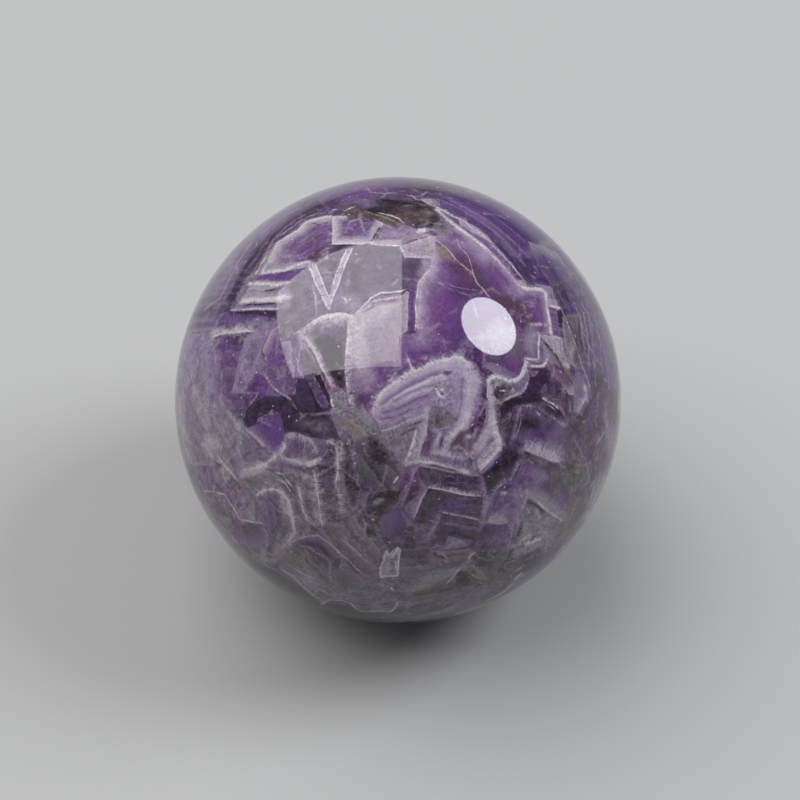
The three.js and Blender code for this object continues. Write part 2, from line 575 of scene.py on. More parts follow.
        (26.3, 12.8), (26.9, 9), (27.8, 5), (31, 3), (31, 9), (29, 13)]),
    cut("VIOLET SMOKE VOID", Bands.CLEAR, (), [
        (19.2, 3.2), (20.1, 3.5), (21.0, 4.5), (21.8, 4.8), (22.4, 4.0), (22.4, 2.9), (21.5, 2.3),
        (20.8, 1.5), (21.0, 0.0), (20.1, -0.6), (17.3, -0.6), (15.0, -3.0), (15.0, -0.4), (18.5, 1.0)],
        shade=0.5),
    cut("LILAC DEEP_VIOLET DEEP_VIOLET", Bands.CLEAR, (), [
        (22.4, 3.2), (21.2, 1.8), (20.9, 0.5), (23.6, 0.1), (24.7, 0.9), (23.3, 3.2)], busy=1.0,
        shade=1.15),
    cut("MILK GREY MAGENTA", Bands.SOFT_EDGE, (0, 1), [
        (24.9, 0.8), (25.7, 0.6), (25.9, 2.5), (24.5, 3.9), (22.8, 5.2), (22.0, 5.0), (22.6, 4.0)],
        stretch=0.4),
    cut("LILAC PALE_VIOLET BLUE_VIOLET", Bands.FINE_STRIPES, (3, 4), [
        (25.9, 4.1), (27.6, 3.9), (28.2, 1.0), (26.9, -2.4), (25.6, -1.5), (25.7, 1.0)], fibre=0.7,
        shade=0.85),
    # The crest that rises from the lower middle
    cut("FIBRE_WHITE LILAC PALE_VIOLET", Bands.MILKY_STEPS, (4, 5, 6, 7, 8, 9), [
        (-2.6, -4.3), (2.4, -3.5), (6, -5.2), (10.3, -4.2), (11.4, 2.9), (10.4, 4.9), (9.0, 6.0),
        (6.6, 5.7), (2.4, 3.9), (-1.3, 1.7), (-3.8, -1.8)], fibre=0.9, stretch=0.85, shade=1.15),
    cut("VIOLET INK_VIOLET INK_VIOLET", Bands.CLEAR, (), [
        (6.2, 3.6), (6.9, 4.4), (8.4, 4.3), (7.4, 3.7)]),
    cut("FIBRE_WHITE LILAC PALE_VIOLET", Bands.SPECKLED, (), [
        (4.9, 2.0), (6.2, 3.2), (7.9, 2.7), (8.6, 1.0), (7.9, -0.9), (6.2, -1.2), (5.0, 0.3)], busy=1.0),
    cut("FIBRE_WHITE LILAC PALE_VIOLET", Bands.MILKY_STEPS, (2, 3), [
        (7.9, 4.4), (7.9, -0.9), (8.8, -4.2), (10.2, -2.4), (10.6, 1.6), (9.6, 4.2)], fibre=0.7, stretch=0.6,
        shade=1.15),
    cut("LILAC VIOLET PALE_VIOLET", Bands.FINE_STRIPES, (0, 3), [
        (11.4, 2.4), (10.9, 0.3), (9.9, -3.1), (12.1, -2.3), (12.8, -0.9), (12.4, 0.0)], stretch=0.7),
    cut("GREY_MILK GREY UMBER", Bands.CLEAR, (), [
        (4.9, -0.9), (4.0, -4.3), (6.5, -4.2), (9.0, -2.9), (6.6, -0.9)], shade=1.2),
    cut("FIBRE_WHITE GREY GREY", Bands.MILKY_STEPS, (0, 1), [
        (1.0, -9.8), (3.1, -9.2), (4.4, -3.2), (4.6, -1.1), (1.5, -2.3), (-2.8, -3.9), (-2.9, -5.2),
        (-0.6, -7.8)], fibre=1.0),
    cut("LILAC PALE_VIOLET MAGENTA", Bands.CLEAR, (), [
        (4.2, -4.1), (3.1, -8.4), (4.1, -8.4), (5.2, -7.5), (5.6, -5.0)], shade=0.95),
    cut("LILAC PALE_VIOLET UMBER", Bands.CLOUDED, (4,), [
        (6.1, -4.3), (10.2, -4.2), (11.2, -6.8), (10.4, -8.6), (5.5, -8.1), (5.6, -5.2)], fibre=0.4),
    cut("LILAC DEEP_VIOLET DEEP_VIOLET", Bands.CLEAR, (), [
        (10.1, -4.6), (10.9, -3.6), (11.2, -4.6), (10.7, -5.8)], shade=0.85),
    # The small eye right of the crest
    cut("WHITE_LINE GREY DARK_BROWN", Bands.SHARP_RIM, (6, 7, 8, 9, 10), [
        (12.9, 0.4), (14.0, -0.6), (15.2, -0.5), (17.0, 0.6), (18.4, 1.1), (19.2, 3.0), (18.6, 5.6),
        (17.7, 3.3), (16.1, 2.9), (14.1, 3.6), (13.2, 2.9)], stretch=0.8),
    cut("LILAC LILAC PALE_VIOLET", Bands.WHITE_EDGE, (0, 1), [
        (18.6, 1.4), (19.2, 3.0), (18.8, 4.2), (17.8, 3.0), (16.7, 2.0), (17.4, 1.1)], fibre=0.6,
        shade=0.7),
    cut("PALE_VIOLET SMOKE SMOKE", Bands.CLEAR, (), [
        (13.9, 1.0), (14.4, 0.1), (16.0, 0.6), (16.7, 1.7), (15.5, 2.3), (14.3, 2.0)], shade=1.4),
    cut("LILAC PALE_VIOLET DEEP_VIOLET", Bands.SOFT_EDGE, (0,), [
        (12.6, 5.0), (14.3, 3.7), (16.4, 3.1), (17.5, 3.6), (15.0, 5.0), (13.5, 5.6)], stretch=0.8,
        shade=0.85),
    cut("FIBRE_WHITE LILAC PALE_VIOLET", Bands.CLOUDED, (5,), [
        (12.5, -0.3), (12.9, -2.5), (11.6, -5.6), (10.6, -8.2), (12.2, -10.9), (15.4, -7.4), (14.4, -3.6),
        (13.9, -1.2), (13.2, 0.0)], fibre=0.5, stretch=0.7, shade=0.78),
    # Lower middle: the crystals that nest in right angles
    cut("LILAC DEEP_VIOLET DEEP_VIOLET", Bands.CLEAR, (0, 1), [
        (3.1, -9.2), (10.4, -10.8), (12.3, -11.2), (12.7, -13.1), (12.2, -14.2), (4.0, -12.5), (3.0, -11)],
        shade=1.0, busy=0.7),
    cut("FIBRE_WHITE PALE_VIOLET VIOLET", Bands.FINE_STRIPES, (0, 1), [
        (12.2, -11.2), (3.1, -9.6), (3.0, -8.3), (6.0, -8.0), (10.4, -8.5), (10.7, -9.6)], fibre=1.0,
        stretch=1.3, shade=0.8),
    cut("LILAC MAGENTA DEEP_VIOLET", Bands.DARK_GAPS, (0, 1), [
        (2.9, -9.3), (1.2, -9.9), (-0.2, -11.5), (0.2, -14.6), (0.7, -15.6), (2.0, -17.8), (3.1, -14.5),
        (3.2, -11)], stretch=1.3, start=0.5),
    cut("LILAC DEEP_VIOLET BLUE_VIOLET", Bands.CLEAR, (3, 4), [
        (2.1, -17.9), (6.2, -18.2), (12.2, -17.6), (12.4, -14.1), (4.5, -12.8), (3.0, -15.8)], shade=0.75, busy=0.7),
    cut("LILAC DEEP_VIOLET BLUE_VIOLET", Bands.CLEAR, (2, 3), [
        (4.4, -21.0), (11.5, -21.6), (11.8, -17.5), (6.5, -16.4), (5.6, -18.6)], shade=0.9),
    cut("LILAC LILAC LILAC", Bands.CLEAR, (), [
        (6.4, -21.9), (10.2, -21.4), (10.9, -20.5), (7.3, -19.9)], shade=0.95),
    cut("MILK GREY_CLEAR SMOKE", Bands.CLOUDED, (0,), [
        (10.4, -21.4), (5.2, -22.1), (4.4, -24.2), (8, -25), (10.6, -24.5)], shade=0.9),
    # Right of those
    cut("LILAC NIGHT_VIOLET INK_VIOLET", Bands.CLEAR, (), [
        (12.2, -11.1), (15.5, -7.3), (17.4, -6.6), (18.5, -8.6), (16.6, -12.2), (14.3, -13.8),
        (12.7, -14.8)], shade=0.75),
    cut("LILAC VIOLET BLUE_VIOLET", Bands.CLEAR, (2,), [
        (12.8, -17), (12.6, -14.6), (16.6, -12.0), (18.6, -8.7), (19.0, -14.2), (16.3, -21.6),
        (15.9, -17.6), (14.6, -16.3), (13.8, -16.8)], shade=0.95),
    cut("MILK LILAC LILAC", Bands.WHITE_EDGE, (0,), [
        (12.9, -17.9), (16.0, -17.7), (15.6, -16.8), (14.5, -16.3), (13.8, -16.8), (13.2, -17.3)]),
    cut("LILAC BLUE_VIOLET DEEP_VIOLET", Bands.CLEAR, (), [
        (11.6, -20.2), (12.0, -21.8), (14.5, -22.2), (16.2, -21.8), (16.7, -19.4), (16.0, -17.9),
        (12.4, -18.1)], shade=0.8),
    cut("LILAC NIGHT_VIOLET PALE_VIOLET", Bands.CLEAR, (), [
        (16.0, -3.6), (15.5, -7.2), (18.8, -7.2), (20.5, -8.1), (23.6, -9.4), (25.0, -6.5), (24.6, -3),
        (23.4, -1.0), (21.2, 0.3), (19.0, -0.8), (17.2, -0.8)], shade=0.6, busy=0.35),
    cut("LILAC INK_VIOLET DEEP_VIOLET", Bands.CLEAR, (), [
        (24.9, -3.2), (23.4, -1.0), (21.1, 0.3), (20.0, -0.7), (20.6, -2.0), (22.8, -3.0)], busy=1.0,
        shade=0.7),
    cut("GREY_MILK BLUE_VIOLET DEEP_VIOLET", Bands.CLEAR, (0, 1, 2), [
        (18.9, -14.3), (20.5, -15.1), (21.7, -16.2), (24.1, -18.0), (25.3, -14), (24.1, -10.5), (23.5, -9.4),
        (18.6, -7.2), (18.3, -9)], busy=0.35),
    cut("GREY_MILK GREY_CLEAR GREY", Bands.SPECKLED, (), [
        (18.8, -14.4), (20.5, -15.1), (21.7, -16.2), (24.1, -18.0), (22.2, -21.5), (19.5, -20.4),
        (16.8, -20.5), (17.4, -17)], busy=1.3, shade=1.12),
    cut("MILK GREY_CLEAR GREY_CLEAR", Bands.CLEAR, (), [
        (16.5, -23.2), (21.6, -22.6), (22.0, -20.4), (19.2, -19.6), (16.6, -21.3)], shade=1.3, busy=1.3),
    cut("OCHRE GREY GREY_CLEAR", Bands.CLOUDED, (0,), [
        (21.6, -22.5), (25, -20), (27, -14.3), (25.4, -13.6), (24.6, -17.5), (22.3, -21.3)]),
    # Lower left
    cut("LILAC GREY BLUE_VIOLET", Bands.CLOUDED, (0,), [
        (-22.4, -9.3), (-18.7, -8.1), (-19.2, -6.8), (-22.2, -4.9), (-23.2, -6.9)], busy=1.0),
    cut("MILK GREY_MILK GREY", Bands.CLOUDED, (3,), [
        (-22.6, -9.5), (-22.2, -11.4), (-19.8, -10.9), (-19.1, -9.3), (-20.4, -8.8)]),
    cut("GREY_MILK GREY UMBER", Bands.CLOUDED, (3,), [
        (-22.7, -11.4), (-21.8, -13.6), (-18.8, -13.0), (-16, -11.9), (-19, -10.2), (-21.4, -11.2)],
        shade=1.2),
    cut("GREY_MILK GREY MAGENTA", Bands.CLEAR, (1, 2), [
        (-27.2, -13.4), (-23.2, -17.5), (-20.6, -13.9), (-22.8, -11.6), (-24.0, -10.0), (-26, -9.6)],
        shade=1.55, busy=0.9),
    cut("PALE_VIOLET BLUE_VIOLET DARK_BROWN", Bands.SOFT_EDGE, (1, 2), [
        (-22.9, -18.0), (-23.0, -20.9), (-20.5, -21.7), (-19.0, -20.6), (-19.7, -17.9)], stretch=0.7,
        shade=1.15),
    cut("WHITE_LINE GREY BLUE_VIOLET", Bands.WHITE_EDGE, (3, 4, 5, 6), [
        (-20.8, -14.0), (-19.7, -17.9), (-18.2, -20.2), (-15.9, -20.7), (-14.9, -19.4), (-15.2, -18),
        (-16, -14.5), (-17.1, -13.3), (-18.3, -12.9)]),
    cut("FIBRE_WHITE GREY PALE_VIOLET", Bands.CLEAR, (3,), [
        (-14.0, -9.6), (-14.4, -13.2), (-13.4, -18.2), (-11.0, -18.6), (-11.9, -13.5), (-12.2, -10.0)],
        fibre=0.7, busy=1.4, shade=0.9),
    cut("FIBRE_WHITE GREY_CLEAR DEEP_VIOLET", Bands.CLEAR, (2,), [
        (-12.0, -10.2), (-11.9, -13.5), (-11.0, -18.5), (-8.8, -17.5), (-8.8, -6.6), (-9.6, -5.6)],
        fibre=0.5, busy=1.4),
    cut("MILK DARK_BROWN DEEP_VIOLET", Bands.CLEAR, (0, 1), [
        (-9.1, -6.0), (-8.6, -9.5), (-9.3, -12.2), (-8.6, -16.5), (-6.6, -16.8), (-5.4, -13.0), (-6.3, -5.4)],
        fibre=0.4, busy=1.4, shade=1.0),
    cut("GREY_MILK GREY_CLEAR SMOKE", Bands.CLOUDED, (4,), [
        (-6.3, -5.6), (-6.2, -10.4), (-4.8, -12.9), (0.2, -12.4), (0.8, -9.6), (-0.8, -7.6), (-2.8, -5.2)]),
    cut("GREY_MILK SMOKE VOID", Bands.CLEAR, (), [
        (-5.4, -6.3), (-3.0, -5.9), (-0.5, -7.9), (0.0, -9.2), (-3.5, -9.6), (-4.7, -8.2)], shade=1.6),
    cut("OCHRE VOID VOID", Bands.CLEAR, (), [
        (-4.3, -13.9), (-1.5, -13.2), (0.1, -13.4), (0.0, -14.8), (-1.5, -16.0), (-2.2, -17.0), (-4.4, -16.7),
        (-4.8, -15.2)]),
    cut("PALE_VIOLET VIOLET BLUE_VIOLET", Bands.SOFT_EDGE, (0,), [
        (-2.2, -17.2), (-2.6, -19.2), (-1.5, -20.3), (0.5, -20.2), (1.4, -18), (0.9, -15.4),
        (-0.5, -15.7)], stretch=0.7, shade=0.85),
    cut("GREY_MILK SMOKE VOID", Bands.CLEAR, (), [
        (-4.8, -18.5), (-4.5, -20.2), (-3.1, -19.9), (-3.4, -18.2)]),
    cut("LILAC DEEP_VIOLET SMOKE", Bands.DARK_GAPS, (2, 3), [
        (-14.4, -20.8), (-12.2, -23.7), (-8.3, -23.1), (-11.5, -19.9), (-14.2, -20.2)], shade=0.88),
    cut("GREY_MILK UMBER GREY_CLEAR", Bands.FINE_STRIPES, (0, 1), [
        (-17.5, -24.2), (-14.5, -26.9), (-11.3, -29.3), (-8, -28.7), (-8.8, -26), (-12.2, -23.8),
        (-14.5, -21.2)], stretch=1.4, busy=0.9),
    # Dark band along the bottom limb: partly the stone's own grey, partly painted shade where the ball meets the floor.
    cut("GREY_MILK VOID VOID", Bands.CLEAR, (), [
        (-11.2, -29.8), (-14.1, -27.3), (-17.9, -24.9), (-21.6, -23.0), (-22.6, -23.8), (-18.2, -27.6), (-11, -31.4),
        (-5, -33), (0, -33.2), (8.5, -31.6), (8.5, -30), (5.5, -29.6),
        (0.5, -30), (-1, -31), (-5, -31), (-6.2, -30.4), (-7.9, -29.3), (-10, -29.2)], shade=0.8, busy=1.3),
    # A small chip: its white edges and the white lines along them are partly a painted glint off the fracture.
    cut("WHITE_LINE GREY_MILK GREY", Bands.WHITE_EDGE, (0, 3, 4, 5, 9), [
        (-2.6, -26.0), (0.0, -25.8), (0.3, -23.8), (0.3, -21.8), (-0.1, -21.6), (-1.0, -22.8),
        (-1.5, -21.9), (-1.9, -22.1), (-2.4, -23.6), (-2.7, -24.6)]),
    cut("GREY_MILK SMOKE SMOKE", Bands.CLEAR, (), [
        (8.5, -26.9), (8.6, -25.2), (9.6, -24.8), (10.7, -25.4), (10.6, -26.9), (9.5, -27.6)]),
)


def vein(
    tint: str, width: float, places: Sequence[Point], amount: float = 1.0, back: float | None = None
) -> Vein:
    """Note one vein on the plate.

    Args:
        tint: Its tint's name.
        width: Its half width in mm, or its width on the left of its line if it has a back.
        places: Where it runs.
        amount: How strongly it covers.
        back: Its width on the right of its line in mm.

    Returns:
        The vein.
    """
    return Vein(Tint[tint], tuple(places), width, width if back is None else back, amount)


# Lines and narrow bands over the crystals, in millimetres on the plate.
FACE_VEINS = (
    # Dark cracks under the round light
    vein("VOID", 0.09, [(14.3, 8.9), (14.2, 7.8), (14.0, 6.4)]),
    vein("VOID", 0.08, [(15.4, 11.5), (15.9, 11.3)]),
    vein("GREY", 0.09, [(10, 10.1), (11.6, 10.6), (14.3, 10.7)], 0.7),
    vein("UMBER", 0.09, [(13.3, 15), (13.5, 13), (14.3, 11.6), (14.6, 10.6)], 0.7),
    # Wisps and edges round the bottom
    vein("GREY_MILK", 0.5, [(-17.5, -24.6), (-14, -26.2), (-10, -28.6), (-5, -29.8), (-1, -29.4)], 0.6, 0.15),
    vein("WHITE_LINE", 0.14, [(-8.4, -20.2), (-6.2, -22), (-4.3, -23.8)], 0.7),
    vein("GREY_MILK", 1.2, [(4.5, -26.8), (7, -25.6), (9.6, -24.2), (11, -23.4)], 0.6, 0.2),
    vein("MILK", 0.25, [(16.2, -26), (17.4, -24.8), (18.6, -24)], 0.8),
    vein("MILK", 0.2, [(17, -26.4), (18.4, -25.2)], 0.8),
    vein("GREY_MILK", 0.8, [(18.4, -22.8), (20.2, -21.4), (21.8, -19.6)], 0.7, 0.2),
    vein("GREY_MILK", 0.7, [(17.4, -20.8), (19.6, -19.2), (21, -17.6)], 0.6, 0.2),
    vein("LILAC", 0.14, [(6, -28.6), (9.5, -28.2), (12.6, -27.2), (15, -25.8)], 0.7),
    vein("GREY_MILK", 0.4, [(-3.6, -26.6), (-1, -27.8), (2, -28), (5, -27)], 0.6),
    vein("WHITE_LINE", 0.5, [(-26.6, -7.8), (-25.8, -9.2), (-24.6, -10.2), (-23.6, -11.8)], 0.7, 0.3),
    vein("WHITE_LINE", 0.14, [(-28.6, -13.2), (-26.9, -13.4), (-25.6, -13.7)], 0.7),
    vein("LILAC", 0.12, [(-29.6, -4), (-28.2, -8.4), (-26, -12.2)], 0.6),
    vein("MILK", 0.3, [(-30.4, 4), (-29.2, 0.4), (-27.6, -3)], 0.5, 0.1),
    vein("WHITE_LINE", 0.16, [(9.2, -24.4), (8.6, -25.2), (7.9, -26.1), (6.8, -27)], 0.8),
    vein("WHITE_LINE", 0.2, [(11.3, -22.1), (10.8, -22.7), (10.3, -23.3)], 0.9),
    vein("WHITE_LINE", 0.14, [(6.4, -22.3), (7.3, -23.4)], 0.7),
    vein("LILAC", 0.3, [(15.9, -17.7), (16.6, -19), (16.5, -20.6)], 0.6),
    vein("MILK", 0.16, [(9.0, -24.6), (10.2, -25.0), (11.4, -25.8), (12.4, -27)], 0.6),
    vein("LILAC", 0.14, [(-21.4, -23.0), (-17.9, -24.9), (-14.1, -27.3), (-11.2, -29.8)], 0.7),
    # Streaks down the right limb
    vein("MILK", 0.25, [(23.8, 13.6), (25.2, 10), (26.8, 5.4), (28.2, 1.4)], 0.6),
    vein("LILAC", 0.3, [(27.4, 14.6), (29.2, 10), (30.6, 5), (30.8, 1)], 0.6, 0.12),
    vein("GREY_MILK", 0.2, [(25.4, 14.8), (27.4, 9.6), (28.8, 4), (29.2, -1)], 0.6),
    vein("DARK_BROWN", 0.3, [(24.4, 13), (25.8, 9), (27.2, 4.6)], 0.6),
    vein("LILAC", 0.2, [(30.4, 0), (30, -5), (28.6, -9.6), (26.6, -13.6)], 0.6, 0.1),
    vein("OCHRE", 0.14, [(28.2, -4), (27.4, -8), (26, -12)], 0.6),
    # Columns right of the crest
    vein("FIBRE_WHITE", 0.6, [
        (9.4, 4.6), (10.4, 2.4), (10.1, -0.3), (10.4, -2.0), (9.7, -3.3), (8.4, -4.6), (7.8, -6.3)], 0.9, 0.5),
    vein("WHITE_LINE", 0.15, [(10, 4.2), (10.5, 2.2), (10.2, -0.4), (10.5, -2), (9.8, -3.4), (8.5, -4.8)], 0.8),
    vein("VIOLET", 0.5, [(12.0, 2.2), (11.4, 0.4), (11.0, -1.6), (10.4, -3.4)], 0.6),
    vein("VIOLET", 0.3, [(8.8, 3.6), (9.3, 1.6), (9.2, -0.8), (8.6, -2.8)], 0.35),
    vein("FIBRE_WHITE", 0.7, [
        (13.6, 2.2), (13.3, 0.2), (13.9, -1.4), (13.7, -3.2), (13, -4.6), (12.3, -6.3), (11.2, -8.4)], 0.8, 0.4),
    vein("WHITE_LINE", 0.14, [(13.7, 1.4), (13.4, 0), (14, -1.6), (13.8, -3.4), (13, -5)], 0.8),
    vein("MILK", 0.5, [(14.2, -3.6), (12.8, -5.8), (11.2, -7.6)], 0.8),
    vein("VIOLET", 0.22, [(14.6, -4.6), (13, -6.6), (11.3, -8.5)], 0.9),
    vein("FIBRE_WHITE", 0.5, [(14.9, -5.3), (13.2, -7.3), (11.5, -9.2)], 0.9),
    vein("VIOLET", 0.25, [(15.2, -6), (13.4, -8), (11.7, -9.9)], 0.9),
    vein("WHITE_LINE", 0.2, [(15.6, -6.4), (13.8, -8.4), (11.9, -10.5)]),
    # The white V, and the arms inside it
    vein("FIBRE_WHITE", 0.5, [(-12.6, 19.8), (-11.4, 17), (-10.4, 14.6), (-10.2, 13.8)], 0.9),
    vein("WHITE_LINE", 0.19, [(-13.0, 19.7), (-11.9, 17), (-10.9, 14.8), (-10.2, 13.4)]),
    vein("WHITE_LINE", 0.15, [(-12.2, 20.0), (-11.0, 17.2), (-10.2, 15.2)]),
    vein("PALE_VIOLET", 0.08, [(-12.6, 19.6), (-11.4, 17), (-10.4, 14.8)], 0.6),
    vein("FIBRE_WHITE", 0.45, [(-7.1, 22.2), (-8.2, 19.4), (-9.4, 16.4), (-10.2, 14.2)], 0.9),
    vein("WHITE_LINE", 0.19, [(-6.7, 22.2), (-7.9, 19.3), (-9.0, 16.4), (-10.1, 13.4)]),
    vein("WHITE_LINE", 0.18, [(-7.5, 22.1), (-8.6, 19.5), (-9.7, 16.6)]),
    vein("PALE_VIOLET", 0.08, [(-7.1, 22.0), (-8.2, 19.4), (-9.4, 16.6)], 0.6),
    # The white chevron under it
    vein("WHITE_LINE", 0.9, [(-6.5, 12.2), (-8.5, 12.7), (-10.4, 12.4), (-12.2, 11.5), (-13.9, 10.3)], 0.8, 0.15),
    vein("WHITE_LINE", 0.25, [(-6.4, 12.2), (-8.5, 12.7), (-10.4, 12.5), (-12.2, 11.6), (-13.6, 10.6)], 0.9),
    vein("WHITE_LINE", 0.2, [(-6.3, 12.4), (-4.9, 14), (-3.9, 15), (-2.5, 15.7), (0.3, 15.9), (1.2, 16.2)]),
    vein("MILK", 0.45, [(-6, 12.3), (-4.6, 13.6), (-3.6, 14.4), (-1.8, 14.8), (0.5, 15.3)], 0.9),
    vein("GREY", 0.16, [(-5.2, 13.4), (-3.6, 14.8), (-2, 15.2), (0.4, 15.6)], 0.8),
    vein("GREY", 0.18, [(-5.4, 12.6), (-3.2, 13.9), (-1.4, 14.3), (0.8, 14.9)], 0.8),
    vein("MILK", 0.25, [(-5.4, 12.2), (-3, 13.4), (-0.8, 13.8), (1, 14.2)], 0.7),
    vein("WHITE_LINE", 0.3, [(-8.6, 15.2), (-7.8, 14.9), (-7.2, 14.2)], 0.7),
    vein("WHITE_LINE", 0.3, [(-8.3, 14.4), (-7.4, 14.2), (-6.7, 15.1)], 0.6),
    vein("MILK", 0.2, [(-12.4, 17), (-12, 14.8), (-11.9, 12.6)], 0.9),
    vein("WHITE_LINE", 1.5, [(-7.0, 12.3), (-7.5, 8.4), (-7.7, 4.8), (-7.4, 1), (-7.0, -1)], 0.65, 0.12),
    vein("MILK", 0.9, [(1.3, 9.9), (1.4, 12.5), (1.6, 15.6)], 0.8, 0.12),
    # Magenta crystal and neighbour
    vein("RED_BROWN", 0.9, [(-11.0, 22.4), (-12.2, 20.8), (-13.8, 20.6)], 0.8),
    vein("INK_VIOLET", 0.3, [(-12.9, 26), (-11.5, 25.6), (-10.0, 26.1)], 0.6),
    vein("OCHRE", 0.3, [(-12.7, 23.9), (-12.2, 23.4)]),
    vein("DEEP_VIOLET", 0.45, [(-2.5, 25.6), (-3.2, 24.2), (-3.9, 23.2)], 0.8),
    vein("VOID", 0.2, [(-9.4, 22.6), (-7, 22.6), (-4.4, 22.6)], 0.8),
    vein("WHITE_LINE", 0.28, [(-9.6, 22.9), (-7, 22.85), (-4.8, 22.85)]),
    # Brown zone at the top
    vein("OCHRE", 0.35, [(-5, 27.7), (-3.5, 27.2), (-2, 26.8), (-0.6, 26.1), (0.6, 25.5)]),
    vein("WHITE_LINE", 0.22, [(-3, 27.4), (-1, 27.0), (0, 26.6), (0.9, 25.8)], 0.9),
    vein("WHITE_LINE", 0.25, [(-9.7, 27.8), (-8.8, 27.9)]),
    vein("WHITE_LINE", 0.28, [(-7.8, 27.7), (-6.9, 28.1), (-6.2, 28.3)]),
    vein("LILAC", 0.3, [(1, 30), (2.3, 29.7), (3.4, 29.9), (4.4, 30.5)], 0.9),
    vein("MILK", 0.25, [(1.8, 30), (2.6, 29.4), (3.6, 29.2)], 0.8),
    vein("LILAC", 0.4, [(-4.2, 30.4), (-2, 30.2), (0, 30.3)], 0.8),
    vein("LILAC", 0.25, [(-4.6, 31.2), (-4.1, 30.3)], 0.8),
    vein("WHITE_LINE", 0.2, [(3.2, 28.7), (3.9, 28.5)]),
    vein("VOID", 0.25, [(0.5, 22.6), (2, 23.2), (4.4, 24)], 0.9),
    vein("OCHRE", 0.22, [(0.7, 22.9), (2, 23.5), (3.6, 24.1)], 0.6),
    vein("WHITE_LINE", 0.7, [(2.6, 24.5), (3.6, 24.8), (4.4, 25.0)]),
    # White band down to the chevron, and the panel's edge
    vein("MILK", 0.5, [(2.9, 9.8), (3.1, 14), (3.4, 17), (4.8, 19.1), (5.3, 21), (5, 23.4)], 0.7),
    vein("VIOLET", 0.5, [(2, 10.1), (2.1, 13), (2.4, 16.9)], 0.9),
    vein("WHITE_LINE", 0.14, [(2.5, 10.1), (2.7, 14), (3.0, 17.1), (4.7, 19.2)], 0.8),
    vein("WHITE_LINE", 0.3, [(0.3, 22.4), (0.6, 21.8), (1.0, 20.9), (4.9, 20.8)], 0.7),
    vein("WHITE_LINE", 0.3, [(-3.9, 22.8), (-1.5, 22.6), (0.4, 22.6)], 0.7),
    # Upper right: the double line along the field, with rungs across
    vein("WHITE_LINE", 0.6, [
        (5.4, 28), (7, 26.8), (8, 25.8), (9.5, 24.7), (11, 23.8), (12.7, 22.3), (14.5, 20.6), (16, 19),
        (17.2, 17.5), (18, 16.6)]),
    vein("WHITE_LINE", 0.3, [
        (6.3, 28), (8, 27), (9.8, 26.2), (11, 25), (12, 24.4), (13.5, 23), (15.5, 21), (17, 19.3),
        (18.5, 17.4), (19, 17)], 0.6),
    vein("VIOLET", 0.6, [(17.8, 16.9), (15.2, 20.2), (12.4, 23), (9, 25.5), (6.2, 27.6)], 0.8, 0.9),
    vein("LILAC", 0.12, [(9.2, 25.1), (9.8, 25.9)], 0.9),
    vein("LILAC", 0.12, [(10.9, 24.1), (11.8, 24.9)], 0.9),
    vein("LILAC", 0.12, [(12.2, 23), (13, 23.8)], 0.9),
    vein("LILAC", 0.12, [(13.3, 22), (14.2, 22.7)], 0.9),
    vein("LILAC", 0.12, [(14.4, 20.9), (15.4, 21.6)], 0.9),
    vein("LILAC", 0.12, [(15.2, 20.1), (16, 20.7)], 0.9),
    vein("LILAC", 0.12, [(16, 19.2), (16.8, 19.8)], 0.9),
    vein("LILAC", 0.12, [(16.8, 18.1), (17.6, 18.6)], 0.9),
    vein("WHITE_LINE", 0.18, [(4.6, 28.8), (6, 28), (8, 26.8)], 0.8),
    vein("LILAC", 0.6, [(18.8, 19.4), (17, 21.6), (14.6, 24.2), (12, 26.2), (9, 28), (6, 29.4)], 0.5, 0.3),
    vein("LILAC", 0.16, [(6, 29), (9, 27.5), (11.6, 25.7), (14, 23.7), (16.4, 21.2), (18.2, 18.9)], 0.3),
    vein("PALE_VIOLET", 1.0, [(19.6, 20.4), (17.2, 23), (14.4, 25.4), (11, 27.6), (7.4, 29.4)], 0.8, 0.2),
    vein("ROYAL_VIOLET", 1.2, [(7, 30.2), (11, 28.6), (15, 26), (18.4, 23)], 0.6),
    vein("NIGHT_VIOLET", 1.5, [(12.8, 28.6), (16, 26.6), (18.6, 24.4), (20.4, 23)], 0.95),
    vein("LILAC", 0.2, [(12.4, 27.8), (15, 26.1), (17, 24.5), (19, 22.7)], 0.45),
    vein("NIGHT_VIOLET", 0.9, [(4.7, 30.8), (8, 30), (10.5, 29.2), (12.8, 28.4)], 0.9),
    vein("NIGHT_VIOLET", 0.7, [(14.6, 22.8), (16.3, 20.9), (18, 18.6)], 0.8),
    vein("NIGHT_VIOLET", 0.7, [(19, 19.3), (20.4, 17.8), (22.2, 17.2)], 0.8),
    vein("WHITE_LINE", 0.45, [
        (18, 16.6), (18.6, 16.3), (21, 16.2), (21.6, 15.6), (21.8, 14), (22.1, 12), (22.5, 9.4)]),
    vein("LILAC", 0.3, [(20, 16.9), (22.2, 16.5), (22.7, 15.3), (22.8, 13.8)], 0.9),
    vein("LILAC", 0.3, [(23.6, 20.5), (25.5, 18.5), (26.5, 17.5)], 0.8),
    vein("WHITE_LINE", 0.3, [(21.9, 13.9), (23, 13.6), (24, 13.3)]),
    vein("MILK", 0.45, [(19, 11.0), (20.5, 11.0), (21.9, 10.9)], 0.9),
    vein("WHITE_LINE", 0.22, [(22.7, 9.3), (23.4, 9.3)], 0.9),
    vein("WHITE_LINE", 0.3, [
        (20.4, 10), (20.7, 9.4), (20.5, 7.8), (20.6, 6.1), (19.8, 5.9), (18.6, 6.2), (18.7, 5.2)], 0.9),
    vein("WHITE_LINE", 0.3, [(19, 5.0), (20, 4.9), (21.3, 5.0), (21.8, 5.8), (21.9, 6.5)], 0.9),
    vein("INK_VIOLET", 0.35, [(19.2, 4.5), (20.3, 4.4), (21.4, 4.5)]),
    vein("VOID", 0.45, [(21, 9), (22.5, 7.3), (23.4, 6), (24, 5)], 0.7),
    vein("GREY_MILK", 0.4, [(24.1, 11), (24.5, 8), (25.5, 5.5), (26.5, 4)], 0.9),
